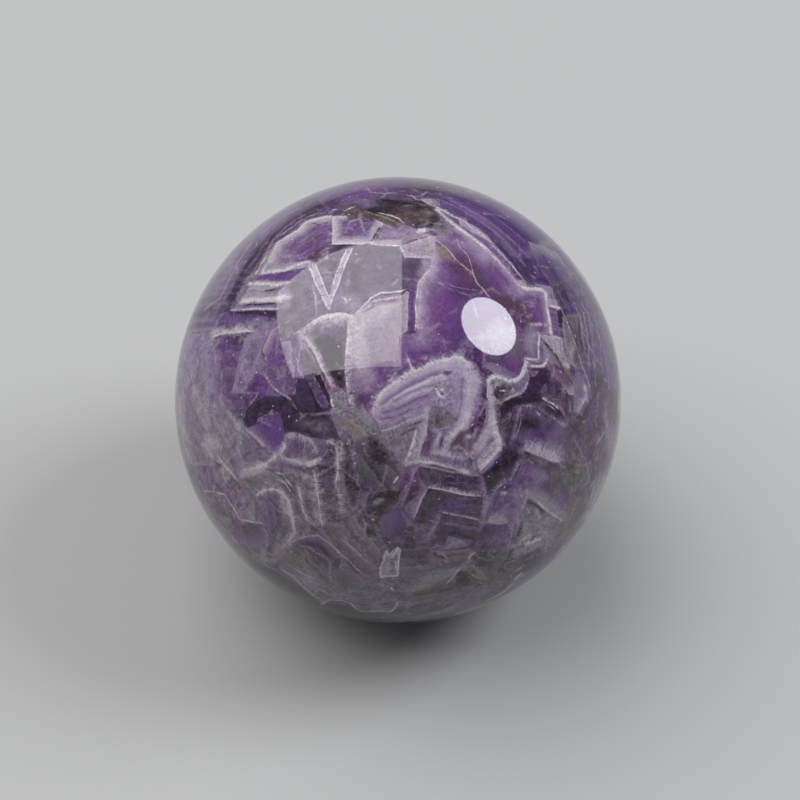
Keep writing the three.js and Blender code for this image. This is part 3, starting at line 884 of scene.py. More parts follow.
    vein("DEEP_VIOLET", 0.5, [(26.4, 12.2), (26.5, 9.5), (27, 6.5)], 0.8),
    vein("LILAC", 0.3, [(26.7, 12.5), (27, 10), (27.8, 8), (29.3, 5.6), (30, 4.8)], 0.8),
    vein("LILAC", 0.3, [(28, 12), (28.7, 10.5), (29.5, 9)], 0.7),
    # Streaks in the violet field
    vein("MILK", 0.15, [
        (4.2, 24.2), (6, 23.1), (7.4, 21.9), (9, 20), (11, 18.6), (11.5, 17.2), (12.5, 16.2), (13.5, 15)], 0.9),
    vein("OCHRE", 0.5, [(5.2, 22.2), (7.6, 21.0), (9.8, 19.4), (11.2, 18)], 0.5),
    vein("MILK", 0.12, [(8.5, 23.9), (9.1, 22.3), (10.2, 21.2), (10.6, 20.2), (11, 18.8), (11.6, 17)], 0.8),
    vein("LILAC", 0.12, [(6.2, 17.4), (8, 16.6), (10.4, 16.2), (12.6, 16)], 0.7),
    vein("WHITE_LINE", 0.3, [(1.2, 6.6), (1.9, 5), (2.2, 4.2)], 0.8),
    vein("WHITE_LINE", 0.28, [(-2, 5.5), (-1.5, 4.8)], 0.8),
    vein("MILK", 0.35, [(0, 4.5), (-0.8, 3.5), (-1.5, 2.5)], 0.8),
    vein("WHITE_LINE", 0.22, [(18.3, 14.5), (18.8, 14.5)]),
    # The crest's bands
    vein("FIBRE_WHITE", 1.3, [
        (-3.7, -2), (-3.4, -1), (-2.5, 0.2), (-1.2, 1.7), (0.3, 2.5), (2.5, 3.9), (5, 5), (6.5, 5.6), (8, 6),
        (9, 5.9), (10.3, 4.9), (11.5, 3), (11.2, 1.8), (10.9, 0.5), (10.4, -1), (10, -3)], 0.9),
    vein("WHITE_LINE", 0.35, [
        (-3.8, -1.4), (-2.7, 0.6), (-1.3, 2.1), (0.2, 2.9), (2.4, 4.3), (5, 5.4), (6.6, 5.9), (8.2, 6.3),
        (9.4, 6), (10.6, 5.0)], 0.9),
    vein("FIBRE_WHITE", 0.8, [(-2.3, -1), (0, 0.7), (2.5, 1.8), (5, 3.1), (6.3, 3.3), (7.2, 3)], 0.9),
    vein("WHITE_LINE", 0.3, [(-1.5, -0.2), (0.4, 0.9), (2.7, 2.0), (5, 3.3), (6.2, 3.6), (7.2, 3.2)], 0.7),
    vein("FIBRE_WHITE", 0.6, [(-2, -1.2), (0, -0.4), (1.5, 0.3), (3.5, 1.3), (5.3, 1.7)], 0.9),
    vein("VIOLET", 0.3, [(-2.7, -0.9), (-0.4, 0.7), (2.4, 2.4), (4.9, 3.6), (6.2, 3.9)], 0.6),
    vein("VIOLET", 0.25, [(-2.4, -1.9), (0, -1.1), (2.4, -0.1), (4.6, 0.8)], 0.65),
    vein("VIOLET", 0.2, [(-2.5, -2.9), (0, -2.2), (2.4, -1.3), (4.6, -0.6)], 0.6),
    vein("FIBRE_WHITE", 0.3, [(-2.5, -2.4), (0, -1.6), (2.4, -0.7), (4.6, 0.1)], 0.8),
    vein("PALE_VIOLET", 0.5, [(-2.7, -0.6), (-0.5, 0.9), (2.2, 2.7), (4.8, 3.9), (6.3, 4.3)], 0.7),
    vein("VIOLET", 0.3, [(-1, -0.3), (1.8, 1.0), (3.6, 1.9), (5.8, 2.4)], 0.5),
    vein("PALE_VIOLET", 1.0, [(-2.3, -2.3), (0, -1.5), (2.5, -0.5), (5, 0.3)], 0.6),
    vein("WHITE_LINE", 0.25, [(5.5, 1.6), (6.3, 0.4), (7.3, 0.8)]),
    vein("WHITE_LINE", 0.22, [(6.2, 1.5), (6.8, 1.6)]),
    vein("VOID", 0.25, [(6.3, 1.2), (6.7, 0.7)], 0.9),
    vein("LILAC", 0.22, [(11, -0.4), (12.4, -0.7)], 0.8),
    vein("LILAC", 0.22, [(10.8, -1.3), (12.2, -1.7)], 0.8),
    vein("FIBRE_WHITE", 1.6, [(1.2, -9.4), (2.9, -9.0), (3.5, -6.5), (4.2, -4.3), (4.5, -1.5)], 0.85, 0.12),
    vein("WHITE_LINE", 0.3, [(1, -9.5), (1.6, -8), (2.3, -6), (2.6, -4.2)], 0.7),
    vein("GREY_MILK", 0.3, [(-1.6, -6.2), (0.2, -5), (1.2, -3.8)], 0.6),
    vein("SMOKE", 0.4, [(0.4, -5.2), (1.6, -4.5), (2.8, -4.0)], 0.7),
    vein("SMOKE", 0.35, [(1, -4.1), (2.6, -3.4), (4, -2.9)], 0.6),
    vein("FIBRE_WHITE", 0.3, [(-2.6, -4.7), (-0.6, -4.1), (1.5, -3.1), (4.2, -2.0)], 0.8),
    vein("OCHRE", 0.9, [(6.6, -3.2), (8.2, -2.9)], 0.8),
    vein("FIBRE_WHITE", 1.1, [(10.6, -0.2), (10.2, -2.4), (9.3, -3.7), (8.1, -5.1), (7.4, -6), (7.0, -7.4)], 1.0),
    vein("WHITE_LINE", 0.5, [(10.3, -1.8), (9.8, -3.3), (8.8, -4.4), (7.7, -5.5)], 0.9),
    vein("FIBRE_WHITE", 0.7, [(6.2, -4.5), (5.9, -5.8), (5.4, -7), (5.0, -7.7)], 0.9),
    vein("NIGHT_VIOLET", 0.4, [(6.6, -5.2), (6.4, -6.2), (6.1, -7.2)], 0.9),
    vein("FIBRE_WHITE", 0.7, [(4.8, -7.8), (6, -7.6), (8, -8.1), (9.9, -8.4)], 0.9),
    vein("DARK_BROWN", 0.7, [(9.5, -4.5), (8.8, -5.4), (8.0, -6.6), (7.7, -7.3)], 0.8),
    vein("OCHRE", 0.3, [(9.9, -6), (10.2, -7), (10.5, -8.2)], 0.8),
    vein("MILK", 0.3, [(8, -7), (9, -6.8), (9.8, -7.3), (10.4, -8.3)], 0.8),
    vein("MILK", 0.3, [(10.6, -7.6), (10.9, -8.8), (11.3, -10.2)], 0.7),
    vein("SMOKE", 0.45, [(10.5, -4.5), (11.2, -3.9)], 1.0),
    # Painted highlight: the glint in the small dark pit.
    vein("WHITE_LINE", 0.4, [(9.9, -5.6), (10.7, -5.0)], 1.0),
    vein("WHITE_LINE", 0.2, [(10.3, -5.7), (10.9, -5.1)], 1.0),
    vein("NIGHT_VIOLET", 0.9, [(9.8, 6.4), (11.5, 5.4), (12.1, 4.2), (11.9, 3.6)], 0.8, 0.5),
    # The eye
    vein("WHITE_LINE", 0.5, [
        (13.2, 2.4), (13.4, 3.1), (14.2, 3.5), (15.2, 3.3), (16.2, 2.9), (17, 2.8), (17.7, 3.1), (18.3, 4),
        (18.7, 5), (18.9, 6)]),
    vein("MILK", 0.6, [
        (13.2, 2.5), (13.5, 1), (13.8, -2), (13.4, -3.5), (12.3, -5.5), (11.3, -7), (10.8, -8)], 0.9),
    # Painted highlight: a glint in the eye's dark middle.
    vein("WHITE_LINE", 0.22, [(14.7, 1.4), (15.9, 1.3)]),
    vein("MILK", 0.3, [(19.2, 3.1), (18.7, 1.8), (18.3, 1.1), (17, 0.6), (15.3, -0.2)], 0.9),
    vein("OCHRE", 0.25, [(14.8, -0.5), (15.3, -0.7)]),
    vein("FIBRE_WHITE", 1.5, [
        (13.7, -1.6), (13.5, -3.4), (12.9, -4.9), (12.2, -6.3), (11.6, -7.6)], 0.8, 0.3),
    vein("WHITE_LINE", 0.45, [
        (14.0, -2.5), (14.3, -4.6), (15.1, -6.6), (14.2, -7.9), (13, -9), (11.8, -10.1)], 0.9, 0.9),
    vein("NIGHT_VIOLET", 0.6, [(15.7, -7.3), (14, -9.2), (12.2, -11.0)], 0.7, 0.05),
    vein("LILAC", 0.5, [(15.5, -7.4), (14, -8.9), (12.3, -10.6)], 0.7),
    # Lower middle
    vein("FIBRE_WHITE", 0.9, [
        (10.5, -10.7), (9, -10.3), (7.5, -9.85), (6, -9.45), (4.5, -9.1), (3.0, -8.85)], 0.7, 0.9),
    vein("WHITE_LINE", 0.28, [(2.9, -8.85), (4.5, -9.1), (6, -9.45), (7.5, -9.85), (9, -10.3), (10.4, -10.75)]),
    vein("INK_VIOLET", 0.35, [(4.4, -9.4), (7, -10), (8.8, -10.45)], 0.9),
    vein("GREY_MILK", 0.2, [(3.2, -9.5), (5, -9.85), (7, -10.25), (8.3, -10.6), (10.2, -11), (12.2, -11.2)], 0.9),
    vein("INK_VIOLET", 0.5, [(7.8, -11), (8.6, -11.2), (8.5, -12.2)], 0.6),
    vein("LILAC", 0.12, [(8.7, -11), (8.75, -12.6)], 0.7),
    vein("LILAC", 0.12, [(6.1, -10.6), (6.15, -12.4)], 0.6),
    vein("LILAC", 1.3, [(2.3, -17.4), (2.9, -15.9), (3.6, -14.3), (4.1, -13.4), (4.5, -12.85)], 0.9, 0.1),
    vein("FIBRE_WHITE", 0.9, [
        (4.3, -12.8), (6, -13.05), (7.5, -13.35), (9, -13.7), (10.5, -13.95), (12.3, -14.1)], 0.85, 0.1),
    vein("WHITE_LINE", 0.12, [(4.5, -12.75), (6, -12.95), (9, -13.55), (11, -13.9)], 0.7),
    vein("WHITE_LINE", 0.18, [(2.5, -17), (3.1, -15.3), (3.9, -13.7)], 0.6),
    vein("LILAC", 1.0, [(0.7, -15.2), (1.3, -13.8), (2.0, -12.2), (2.4, -10.9), (2.9, -9.7)], 0.8, 0.12),
    vein("WHITE_LINE", 0.25, [(-0.7, -12.1), (-0.2, -11.5), (0.2, -11.1)], 0.9),
    vein("LILAC", 0.45, [(6.3, -16.35), (8, -16.75), (10, -17.15), (11.9, -17.6)], 1.0, 0.12),
    vein("WHITE_LINE", 0.1, [(6.4, -16.35), (8, -16.75), (10, -17.15), (11.8, -17.55)], 0.7),
    vein("LILAC", 1.1, [(4.4, -20.6), (5.0, -19.5), (5.9, -17.9), (6.5, -16.5)], 0.8, 0.1),
    vein("LILAC", 0.22, [(4.2, -17.4), (5, -17.7), (5.9, -17.95)], 0.8),
    vein("PALE_VIOLET", 0.5, [(6.3, -17.9), (8, -18.2), (9.5, -18.6), (11.4, -18.8)], 0.8),
    vein("VOID", 0.55, [(6.8, -19.3), (8.5, -19.5), (10, -19.85), (11.2, -20.3)], 0.9),
    vein("SMOKE", 0.3, [(6.2, -22.1), (8.5, -21.8), (10.4, -21.45)], 0.9),
    vein("SMOKE", 0.35, [(10.3, -21.4), (11.2, -21.0), (11.3, -20)], 0.7),
    vein("WHITE_LINE", 0.18, [(8.9, -16.4), (9.1, -16.4)]),
    vein("WHITE_LINE", 0.2, [(10.8, -16.45), (11.0, -16.45)]),
    vein("LILAC", 0.6, [(12.1, -11), (12.4, -12.5), (12.9, -14), (12.7, -16), (12.2, -18.4)], 0.8),
    vein("LILAC", 0.9, [
        (12.9, -16.4), (13.5, -14.6), (14.3, -13.1), (15.2, -12.2), (16.4, -11.8), (16.9, -10.9),
        (17.4, -9.8), (18.3, -8.4)], 0.75, 0.35),
    vein("WHITE_LINE", 0.3, [(16.4, -11.6), (16.8, -11.0)], 0.7),
    vein("WHITE_LINE", 0.3, [(14.9, -12.6), (15.8, -12.2)], 0.5),
    vein("INK_VIOLET", 0.5, [(17, -12.2), (15.4, -13.2), (14.4, -14.4), (13.9, -16)], 0.8),
    vein("MILK", 0.5, [(14.9, -13.5), (16.1, -13.7)], 0.8),
    vein("LILAC", 1.8, [(16.3, -21.8), (16.6, -20), (17, -18), (17.9, -16.4), (18.8, -14.4), (18.9, -13)], 0.8, 0.12),
    vein("MILK", 0.2, [(17.9, -16.4), (18.8, -14.4), (18.9, -13.1)], 0.8),
    vein("NIGHT_VIOLET", 0.9, [(13, -18.2), (14.5, -18.2), (15.9, -18.0)], 0.8, 0.08),
    vein("MILK", 0.3, [(13, -17.9), (14.5, -18.0), (16, -17.8)], 0.9),
    vein("OCHRE", 0.5, [(16.2, -22), (15.8, -23), (14.8, -24.2)], 0.5),
    # Lower right
    vein("LILAC", 0.5, [
        (16.5, -6.4), (17, -5), (17.3, -3.2), (17.6, -1.7), (18.0, -1.0), (19.2, -0.85), (20.4, -1.0),
        (21.2, -1.6), (22.5, -2.5), (23.6, -3.2), (24.6, -3.6)], 0.65),
    vein("GREY_MILK", 0.14, [(17.9, -1.4), (18, -3), (17.6, -4.6), (17.1, -6)], 0.8),
    vein("MILK", 0.3, [(20.2, -1.7), (20.9, -2.4)], 0.9),
    vein("WHITE_LINE", 0.2, [(21.1, 0.4), (21.9, -0.2), (22.6, -0.6), (23.5, -1.2)], 0.9),
    vein("WHITE_LINE", 0.18, [(21.8, -0.6), (22.4, -1.0), (22.9, -1.3)], 0.9),
    vein("GREY_MILK", 0.5, [(23.6, -2.9), (24.3, -3.7), (24.9, -3.3)], 0.6),
    vein("FIBRE_WHITE", 2.3, [
        (18.7, -6.9), (19.5, -7.6), (20.8, -8.2), (22.2, -8.8), (23.6, -9.2)], 0.95, 0.12),
    vein("VOID", 1.0, [(23.4, -9.6), (22.2, -9.1), (20.8, -8.5), (19.4, -7.9), (18.4, -7.3)], 0.7, 0.1),
    vein("GREY_MILK", 2.4, [(18.9, -14.2), (20.4, -15), (21.7, -16.1), (22.9, -17), (24, -17.8)], 0.95, 0.12),
    vein("WHITE_LINE", 0.3, [(20.2, -14.8), (21.7, -16), (23.2, -17.1), (24, -17.8)], 0.6),
    vein("SMOKE", 0.9, [(21.6, -16.4), (20.4, -15.4), (18.9, -14.6)], 0.9, 0.08),
    vein("MILK", 0.4, [(20.2, -16), (20.5, -16.8), (20.9, -17.4)], 0.8),
    vein("SMOKE", 0.8, [(18.2, -17.6), (17.8, -19), (17.4, -20.2)], 0.7),
    vein("GREY_MILK", 0.8, [(16.8, -23), (17.8, -22.1), (19.2, -21.4), (21.2, -21)], 0.9),
    vein("SMOKE", 1.2, [(17.6, -24), (18.8, -22.9), (20, -22.2)], 0.9),
    vein("WHITE_LINE", 0.25, [(16.7, -26.6), (18, -25.3)], 0.9),
    vein("GREY_MILK", 0.3, [(17.4, -26.6), (18.6, -25.5), (20, -24.6)], 0.7),
    vein("OCHRE", 0.7, [(26.3, -14), (25.5, -16.5), (24, -20), (22.5, -22)], 0.7),
    vein("OCHRE", 0.5, [(25.2, -15), (24.4, -18), (23, -20.5)], 0.5),
    vein("GREY_CLEAR", 0.8, [(27, -14.5), (25.6, -18.3), (23.8, -21.2)], 0.7),
    vein("WHITE_LINE", 0.25, [(24, -21.5), (24.3, -21.5)]),
    vein("WHITE_LINE", 0.2, [(26.4, -9.6), (26.7, -9.6)]),
    vein("RED_BROWN", 0.5, [(22.6, 5), (23.8, 4.6), (24.8, 3.4), (25.7, 2.2)], 0.9),
    vein("OCHRE", 0.8, [(24.3, 4.6), (25.4, 3.4), (26.0, 2.2), (25.9, 1.2)], 0.7),
    vein("SMOKE", 0.9, [
        (29.4, 3.1), (28.9, 1.2), (28, -0.6), (27, -2.4), (26, -3.9), (25.3, -5.2)], 0.8, 0.25),
    vein("FIBRE_WHITE", 1.6, [(26.2, -2.3), (27, -0.8), (27.7, 0.8), (27.4, 2.4)], 0.8, 0.12),
    vein("SMOKE", 1.3, [(28.9, -2.8), (28.2, -4.4), (27.6, -6.2), (28, -7.8), (28.5, -9.4), (28.9, -11.2)], 0.7),
    vein("LILAC", 0.4, [(25.6, -5.4), (26.6, -7.4), (27.6, -9.6), (27.9, -11.6)], 0.5),
    vein("MILK", 0.25, [(29.1, -6.6), (29.7, -5.4), (30.2, -4.4)], 0.9),
    vein("MILK", 0.25, [(27.9, -13), (28.5, -12.2), (28.9, -11.5)], 0.9),
    # Stripes on the upper left
    vein("WHITE_LINE", 0.5, [(-19.9, 18.5), (-16.5, 19.1), (-13.3, 20.2), (-12.4, 19.9)]),
    vein("WHITE_LINE", 0.4, [
        (-9.8, 26.9), (-12.8, 26.3), (-13.7, 25.9), (-14.6, 24.9), (-17.7, 23.0), (-18.4, 21.6), (-19.9, 18.6)], 0.8),
    vein("MILK", 0.16, [
        (-10, 27.5), (-13, 26.9), (-14.3, 26.3), (-15.2, 25.4), (-18.2, 23.5), (-19, 21.9), (-20.6, 18.8)], 0.8),
    vein("WHITE_LINE", 0.45, [(-22, 17), (-17.5, 16.9), (-16, 17.2)]),
    vein("VIOLET", 0.5, [(-20.8, 17.7), (-19, 18.1), (-17, 18.0)], 0.8),
    vein("WHITE_LINE", 0.65, [(-23, 14.5), (-20, 14.5), (-17.8, 14.8), (-15.5, 15.2)]),
    vein("INK_VIOLET", 0.3, [(-22.5, 13.9), (-20, 14.0), (-17.8, 14.2)], 0.9),
    vein("WHITE_LINE", 0.3, [(-24.5, 13.1), (-21, 13.3), (-17.5, 13.4)], 0.9),
    vein("INK_VIOLET", 0.5, [(-23.8, 12.75), (-20, 12.7), (-17.9, 12.8)]),
    vein("GREY_MILK", 1.0, [(-23.5, 14.2), (-22.2, 17.4), (-19.8, 19.6), (-18.4, 22.2)], 0.8),
    vein("WHITE_LINE", 0.28, [(-20.9, 18.2), (-20, 20), (-19.2, 21)], 0.9),
    vein("OCHRE", 0.3, [
        (-23.4, 14.4), (-21.6, 18), (-20, 20.6), (-18.5, 23), (-17.2, 24.5), (-15.2, 26.2), (-13, 27.4)], 0.9),
    vein("RED_BROWN", 0.3, [(-21.4, 19), (-19.7, 21.7), (-18.2, 23.9), (-16.4, 25.8), (-14, 27.3)], 0.9),
    vein("OCHRE", 0.22, [(-20.8, 20.8), (-18.7, 24), (-16.6, 26.2), (-13.6, 28), (-12, 28.8)], 0.8),
    vein("INK_VIOLET", 0.8, [
        (-25, 12.5), (-23.4, 17), (-20.8, 21.7), (-18.7, 24.3), (-16.2, 26.3), (-13, 28.4)], 0.55),
    vein("LILAC", 0.45, [(-28.5, 13), (-26, 14.9), (-24, 19), (-22, 22.3), (-20.5, 24)], 0.9),
    # Left side
    vein("WHITE_LINE", 0.5, [(-27.4, 9.0), (-26, 9.7), (-24, 9.9), (-20.6, 10)], 0.7, 0.15),
    vein("WHITE_LINE", 0.2, [(-27.2, 9.1), (-26, 9.7), (-24, 9.9), (-22, 10)], 0.8),
    vein("LILAC", 0.3, [(-24.3, 1.3), (-22.6, 1.1), (-20.3, 1.0)], 0.7),
    vein("GREY_MILK", 0.4, [(-19.8, 7.7), (-20.6, 6.2), (-21.3, 4.3)], 0.9),
    vein("OCHRE", 0.28, [(-21, 4.3), (-20, 4.6)]),
    vein("WHITE_LINE", 0.25, [(-19.7, 3.9), (-18.6, 2.4), (-17.5, 1.3), (-15.5, 0)], 0.55),
    vein("MILK", 0.6, [(-22, -4.3), (-21, -5.3), (-20, -6.2), (-19.3, -7)]),
    vein("INK_VIOLET", 0.3, [(-21.8, -5), (-20.8, -5.9), (-19.9, -6.9)], 0.8),
    vein("WHITE_LINE", 0.2, [(-21.9, -1), (-21.2, -0.1), (-20.6, 0.8)], 0.5),
    vein("OCHRE", 0.35, [(-23.6, -2.1), (-23.1, -2.5)]),
    vein("GREY_MILK", 0.35, [
        (-29.7, 2.2), (-28.7, -0.5), (-27.9, -2.3), (-27, -2.2), (-26.5, -3.5), (-25, -6), (-24.6, -7)], 0.9),
    vein("GREY_MILK", 0.3, [(-24.7, -6), (-24.2, -5), (-23.5, -4.8), (-23.2, -7)], 0.9),
    vein("GREY_MILK", 0.35, [(-31.2, 2), (-30.1, 3.3)], 0.9),
    vein("GREY_MILK", 0.35, [(-29, 7.4), (-27, 9.2)], 0.9),
    vein("GREY_MILK", 0.3, [(-27.3, 7.2), (-26, 8.9)], 0.9),
    # Feathered bands in the lower left
    vein("GREY_MILK", 1.2, [(-28.6, -5), (-27.4, -5.6), (-26, -5.2)], 0.7),
    vein("GREY_MILK", 1.8, [(-28.4, -7.6), (-26.4, -7.6)], 0.8),
    vein("MILK", 0.9, [(-28.2, -6.4), (-27.4, -8.2), (-26.6, -9), (-25, -9.4)], 0.8, 0.3),
    vein("VOID", 0.8, [(-26.7, -9.3), (-26.1, -9.6)], 0.8),
    vein("GREY_MILK", 1.4, [(-25.8, -8.6), (-24.4, -10.2), (-23.2, -12.2), (-22.2, -13.8)], 0.6, 0.5),
    vein("OCHRE", 0.22, [(-25.7, -8.5), (-24, -10.5), (-23, -12.3), (-22.1, -14)], 0.9),
    vein("WHITE_LINE", 0.8, [(-16.4, -6.2), (-17.4, -7.6), (-18.8, -8.9), (-20.4, -9.8), (-22.8, -10.3)], 0.55, 0.6),
    vein("WHITE_LINE", 0.3, [(-16.2, -6.4), (-17.2, -7.8), (-18.8, -8.8), (-19.6, -9.5)], 0.7),
    vein("WHITE_LINE", 0.8, [(-11.2, -8.4), (-12.6, -9.2), (-14, -9.2), (-16, -8.7), (-17.3, -8.1)], 0.55, 0.3),
    vein("WHITE_LINE", 0.5, [(-13.4, -9.4), (-12.4, -9.2), (-11.2, -8.7)], 0.9),
    vein("FIBRE_WHITE", 1.2, [(-11.8, -8), (-12.2, -6.8), (-13, -5.6), (-14.6, -5), (-16.5, -5)], 0.7, 0.4),
    vein("FIBRE_WHITE", 1.3, [
        (-11.2, -6), (-9.7, -6.1), (-9.0, -6.8), (-8.7, -8.5), (-8.7, -10.8), (-9.1, -12.2), (-8.6, -14),
        (-8.4, -16.6)], 0.7, 0.5),
    vein("WHITE_LINE", 0.16, [(-10, -5.9), (-9.1, -6.6), (-8.8, -8.5), (-8.8, -10.8), (-9.2, -12.2)], 0.8),
    vein("FIBRE_WHITE", 1.5, [
        (-12.5, -10.3), (-12.1, -11.8), (-12, -13.5), (-11.6, -15.5), (-11, -18.5)], 0.65, 1.3),
    vein("WHITE_LINE", 0.16, [(-12.4, -10.3), (-12, -11.8), (-11.8, -13.5), (-11.5, -15.5), (-11, -18.4)], 0.8),
    vein("FIBRE_WHITE", 0.9, [(-15.2, -11.8), (-14.4, -13), (-14.2, -14.8), (-13.8, -16.2), (-13.1, -17.8)], 0.6, 0.9),
    vein("WHITE_LINE", 0.16, [(-14.7, -12.4), (-14.2, -14.4), (-13.8, -16.2), (-13.1, -17.8)], 0.8),
    vein("FIBRE_WHITE", 1.2, [
        (-20.7, -13.9), (-19.6, -13.1), (-18.2, -12.9), (-17, -13.3), (-16.1, -14.6), (-15.6, -16), (-15.2, -18),
        (-15, -19.4), (-15.8, -20.8), (-17.2, -21.8)], 0.6, 1.2),
    vein("WHITE_LINE", 0.22, [
        (-20.7, -13.9), (-19.6, -13.2), (-18.2, -13), (-17, -13.4), (-16.1, -14.7), (-15.5, -16.4),
        (-15.2, -18.4)], 0.8),
    vein("MILK", 0.35, [(-17.6, -16.2), (-16.6, -16.4), (-15.6, -16.4)], 0.7),
    vein("MILK", 0.3, [(-17.4, -17.1), (-16.4, -17.2), (-15.4, -17)], 0.6),
    vein("LILAC", 0.5, [(-20, -14.6), (-19.4, -15.6), (-19.3, -16.6)], 0.6),
    vein("WHITE_LINE", 0.25, [(-18.2, -10.5), (-17, -10.8), (-16, -12), (-15.2, -13)], 0.8),
    vein("WHITE_LINE", 0.2, [(-17.6, -11.6), (-16.4, -12.2), (-15.6, -13.4)], 0.7),
    vein("SMOKE", 0.5, [(-17.4, -11.1), (-16.2, -11.6)], 0.7),
    vein("WHITE_LINE", 0.22, [(-26.4, -13.7), (-25.3, -13.8), (-24.1, -15.8), (-23.1, -17.4)], 0.8),
    vein("GREY_MILK", 0.6, [(-23.2, -17.5), (-21.5, -17.8), (-19.8, -18.1)], 0.7, 0.15),
    vein("WHITE_LINE", 0.18, [(-23.2, -17.5), (-21.5, -17.8), (-19.8, -18.1)], 0.8),
    vein("LILAC", 0.5, [(-19.7, -18.1), (-19.0, -20.3), (-19.4, -22.2), (-19.9, -23.8)], 0.8),
    vein("OCHRE", 1.4, [(-18, -21.4), (-17, -22.6), (-15.4, -23.4)], 0.6),
    vein("GREY_MILK", 0.5, [(-19.6, -22), (-19.8, -23.6), (-18.8, -24.5)], 0.7),
    vein("LILAC", 0.4, [(-6.1, -5), (-6.6, -7.5), (-6.4, -10.5)], 0.7),
    vein("LILAC", 0.28, [(-6.5, -11.2), (-5.4, -13)], 0.8),
    # Left of the middle
    vein("MILK", 0.9, [(-14.2, 9.4), (-13.2, 8.6), (-12, 6.6), (-11, 4.6), (-10.2, 3), (-9.5, 1.6)], 0.8, 0.4),
    vein("WHITE_LINE", 0.22, [(-13.5, 9.2), (-12.8, 8.0)], 0.9),
    vein("WHITE_LINE", 0.16, [(-12.6, 7.4), (-11.7, 5.8), (-11, 4.4), (-10, 2.6)], 0.8),
    vein("WHITE_LINE", 0.2, [(-13.3, 7.9), (-12.9, 8.0)], 0.9),
    vein("WHITE_LINE", 0.2, [(-12.6, 7.8), (-12.3, 7.7)], 0.9),
    vein("OCHRE", 0.4, [(-9.7, 1.9), (-9.2, 1.6)]),
    vein("GREY_MILK", 0.25, [(-8.7, 4.1), (-8.3, 3.9)]),
    vein("WHITE_LINE", 0.25, [(-9.9, 0.8), (-9.7, -0.5), (-9.3, -1.5)], 0.9),
    vein("OCHRE", 0.6, [(-8, -3), (-6.5, -3.8), (-5.7, -5), (-5.6, -6)], 0.8),
    vein("GREY_MILK", 1.4, [(-6, -1.6), (-4.6, -3), (-3.6, -4.4)], 0.6),
    # Bottom
    # Painted highlight: a beige glint on the dark spot.
    vein("OCHRE", 0.3, [(-2.9, -14.5), (-2.0, -14.7)]),
    vein("GREY_MILK", 0.7, [(-4.2, -15.4), (-3.2, -15), (-2.4, -14.6)], 0.7),
    vein("WHITE_LINE", 0.25, [(-3.9, -17.3), (-3.2, -17.6)]),
    vein("GREY_MILK", 0.16, [(-4.0, -16.9), (-3, -16.1)], 0.9),
    vein("GREY_MILK", 0.2, [(-4.9, -14.8), (-5, -15.8), (-4.5, -16.8)], 0.8),
    vein("GREY_MILK", 0.35, [(-5.6, -17), (-4.7, -18.2), (-4.9, -19.4), (-4.4, -20.2), (-3.2, -20.6)], 0.8),
    vein("GREY_MILK", 0.35, [(-6.2, -16.4), (-6.1, -18), (-6.4, -18.9), (-5.9, -20)], 0.7),
    vein("LILAC", 0.5, [(-7.2, -13.6), (-7.1, -15.4), (-6.8, -17)], 0.6),
    vein("MILK", 0.28, [
        (-15.8, -20.9), (-14.5, -20.2), (-12.4, -19.9), (-11.6, -19.8), (-10.4, -20.7), (-9, -22), (-7.5, -23.3),
        (-6, -24.7), (-5, -25.6)], 0.9),
    vein("VOID", 0.9, [(-9.9, -22.9), (-10.4, -22.3), (-11.4, -21.2)], 0.6),
    vein("GREY_MILK", 0.28, [(-8, -20.7), (-6.5, -22), (-4.8, -23.3), (-4.1, -24)], 0.9),
    vein("LILAC", 0.35, [(-14.5, -21.2), (-13, -21.5), (-12, -22.3), (-10.7, -22.8), (-10, -23.5)], 0.8),
    vein("LILAC", 0.3, [(-10, -23.4), (-9.8, -24.4), (-10.1, -25.7)], 0.9),
    vein("NIGHT_VIOLET", 0.8, [(-14, -20.9), (-12.8, -21.0), (-11.6, -21.6)], 0.8),
    vein("OCHRE", 0.8, [(-17.6, -22.6), (-16.4, -22), (-15.6, -21.4)], 0.6),
    vein("GREY_MILK", 0.25, [(-15.2, -22.7), (-13.8, -23.1), (-13.4, -24.4)], 0.7),
    vein("MILK", 0.3, [(-17.3, -24.7), (-15, -26), (-13.8, -27.3), (-12.4, -28.6), (-11.2, -29.2)], 0.9),
    vein("MILK", 0.35, [(-15.2, -24.7), (-13.6, -25.6), (-11.8, -26.3)], 0.8),
    vein("GREY_MILK", 0.3, [(-14.6, -26), (-13, -27.2), (-10.6, -27.9)], 0.7),
    vein("GREY_MILK", 0.3, [(-14, -26.1), (-12, -26.9), (-9.8, -27.5)], 0.6),
    vein("GREY_MILK", 0.3, [(-13, -28), (-11, -28.7), (-8.6, -28.9), (-7, -29.4)], 0.6),
    vein("GREY_MILK", 0.9, [(-12.5, -26.9), (-10.4, -28.2), (-8, -28.4), (-6, -27.8)], 0.5),
    vein("MILK", 0.3, [
        (-11.2, -29.9), (-10, -29.25), (-8.5, -29.2), (-7, -29.7), (-6, -30.7), (-5, -31), (-3, -30.8),
        (-1, -31), (-0.4, -30.2), (0, -29.4)], 0.9),
    vein("GREY_MILK", 0.4, [(0, -30), (3.5, -29.8), (6.2, -29.1)], 0.6),
    vein("SMOKE", 0.5, [(2, -30), (4.2, -29.7), (6.4, -29.1)], 0.6, 0.2),
    vein("WHITE_LINE", 0.25, [(-1.1, -27.3), (-0.5, -27.8)]),
    vein("WHITE_LINE", 0.22, [(-1.6, -21.9), (-2.1, -23.4), (-2.7, -24.5), (-2.5, -26), (-1.4, -25.8), (0, -25.7)]),
    vein("WHITE_LINE", 0.22, [(0.35, -21.9), (0.1, -24), (0, -25.7)]),
    vein("WHITE_LINE", 0.16, [(-0.3, -23.5), (-0.1, -25.6)]),
    vein("WHITE_LINE", 0.16, [(-1.6, -21.9), (-1.1, -22.8), (-0.7, -22), (0, -21.5), (0.35, -21.9)]),
    vein("MILK", 0.5, [(-1.4, -23.6), (-1.8, -24.9), (-0.8, -24.6)], 0.8),
